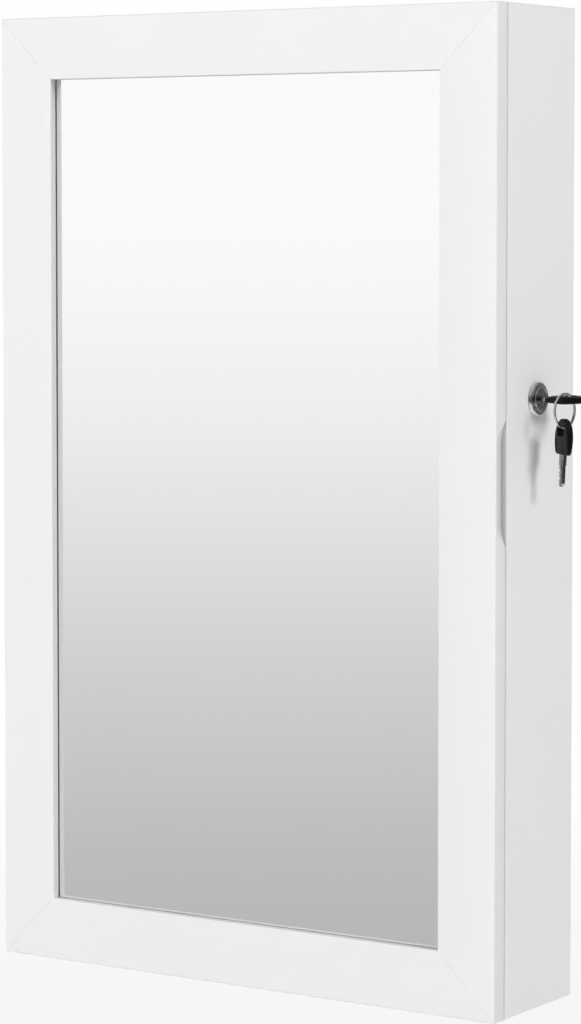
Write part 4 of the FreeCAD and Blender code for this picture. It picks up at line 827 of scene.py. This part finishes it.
# the room: white behind the cabinet, an even fill, and in reflections white that falls to grey towards
# the floor, with dark flags to the front, right and rear that give the metal its contrast
room = {"fill": 0.28, "topHeight": -0.005, "bottomHeight": -0.215,
        "stops": ((0.0, 0.475), (0.16, 0.525), (0.4, 0.65), (0.75, 0.885), (0.92, 0.96), (1.0, 0.985)),
        "ceiling": {"from": 0.35, "to": 0.6, "level": 0.42},
        "ground": {"from": -0.4, "to": -0.6, "level": 1.0},
        "flags": ({"toward": (0.82, -0.57, 0.05), "from": 0.7, "to": 0.95, "level": 0.12},
                  {"toward": (0.553, 0.831, -0.06), "from": 0.65, "to": 0.93, "level": 0.2},
                  {"toward": (1.0, 0.1, 0.05), "from": 0.8, "to": 0.96, "level": 0.3},
                  {"toward": (0.33, -0.94, 0.05), "from": 0.84, "to": 0.96, "level": 0.15})}
world = bpy.data.worlds.new("room")
world.use_nodes = True
bpy.context.scene.world = world
tree = world.node_tree
tree.nodes.clear()
look = addNode(tree, "ShaderNodeTexCoord").outputs["Generated"]
height = addNode(tree, "ShaderNodeSeparateXYZ", {0: look}).outputs["Z"]
fall = remap(tree, height, room["bottomHeight"], room["topHeight"], 0.0, 1.0)
ramp = addNode(tree, "ShaderNodeValToRGB", {0: fall})
for index, (position, level) in enumerate(room["stops"]):
    stop = ramp.color_ramp.elements[index] if index < 2 else ramp.color_ramp.elements.new(position)
    stop.position = position
    stop.color = grey(level)
path = addNode(tree, "ShaderNodeLightPath")
mirrored = plainRoom = ramp.outputs["Color"]
for part in (room["ceiling"], room["ground"]):
    share = remap(tree, height, part["from"], part["to"], 0.0, 1.0)
    mirrored = blendColours(tree, share, mirrored, grey(part["level"]))
for flag in room["flags"]:
    toward = addNode(tree, "ShaderNodeVectorMath", {0: look, 1: flag["toward"]}, operation="DOT_PRODUCT")
    shade = remap(tree, toward.outputs["Value"], flag["from"], flag["to"], 1.0, flag["level"])
    mirrored = blendColours(tree, 1.0, mirrored, shade, "MULTIPLY")
# a true mirror sees only the falling grey: no ceiling, ground or flags
mirrored = blendColours(tree, path.outputs["Is Singular Ray"], mirrored, plainRoom)
fillLight = addNode(tree, "ShaderNodeBackground", {"Color": grey(1.0), "Strength": room["fill"]})
reflected = addNode(tree, "ShaderNodeBackground", {"Color": mirrored, "Strength": 1.0})
seen = addNode(tree, "ShaderNodeBackground", {"Color": grey(1.0), "Strength": 1.0})
glossy = calc(tree, "MAXIMUM", path.outputs["Is Glossy Ray"], path.outputs["Is Transmission Ray"])
lit = addNode(tree, "ShaderNodeMixShader", {0: glossy, 1: fillLight.outputs[0], 2: reflected.outputs[0]})
whole = addNode(tree, "ShaderNodeMixShader",
                {0: path.outputs["Is Camera Ray"], 1: lit.outputs[0], 2: seen.outputs[0]})
addNode(tree, "ShaderNodeOutputWorld", {0: whole.outputs[0]})

# a pale floor well below the hung cabinet: it keeps the shadow and fades into the white room farther off
floor = {"drop": 0.34, "reach": 9.0, "colour": 0.86, "fadeStart": 1.2, "fadeEnd": 3.2, "lift": 0.76}
floorZ = cadLow.z - floor["drop"]
edge = floor["reach"]
floorMesh = bpy.data.meshes.new("floor")
corners = [(x * edge, y * edge, floorZ) for x, y in ((-1, -1), (1, -1), (1, 1), (-1, 1))]
floorMesh.from_pydata(corners, [], [(0, 1, 2, 3)])
floorObject = bpy.data.objects.new("floor", floorMesh)
bpy.context.scene.collection.objects.link(floorObject)
floorObject.visible_glossy = False
floorMaterial = bpy.data.materials.new("floor")
floorMaterial.use_nodes = True
tree = floorMaterial.node_tree
tree.nodes.clear()
place = addNode(tree, "ShaderNodeTexCoord").outputs["Object"]
flatPlace = addNode(tree, "ShaderNodeVectorMath", {0: place, 1: (1.0, 1.0, 0.0)}, operation="MULTIPLY")
distance = addNode(tree, "ShaderNodeVectorMath", {0: flatPlace.outputs[0]},
                   operation="LENGTH").outputs["Value"]
spread = {"Value": distance, "From Min": floor["fadeStart"], "From Max": floor["fadeEnd"],
          "To Min": floor["lift"], "To Max": 1.0}
fade = addNode(tree, "ShaderNodeMapRange", spread, interpolation_type="SMOOTHSTEP").outputs["Result"]
path = addNode(tree, "ShaderNodeLightPath")
share = calc(tree, "MULTIPLY", fade, path.outputs["Is Camera Ray"])
matte = addNode(tree, "ShaderNodeBsdfDiffuse", {"Color": grey(floor["colour"])})
whiteGlow = addNode(tree, "ShaderNodeEmission", {"Color": grey(1.0), "Strength": 1.0})
mixed = addNode(tree, "ShaderNodeMixShader", {0: share, 1: matte.outputs[0], 2: whiteGlow.outputs[0]})
addNode(tree, "ShaderNodeOutputMaterial", {0: mixed.outputs[0]})
floorMesh.materials.append(floorMaterial)

bpy.context.scene.view_settings.view_transform = "Standard"
print("camera, lamps, room and floor placed")
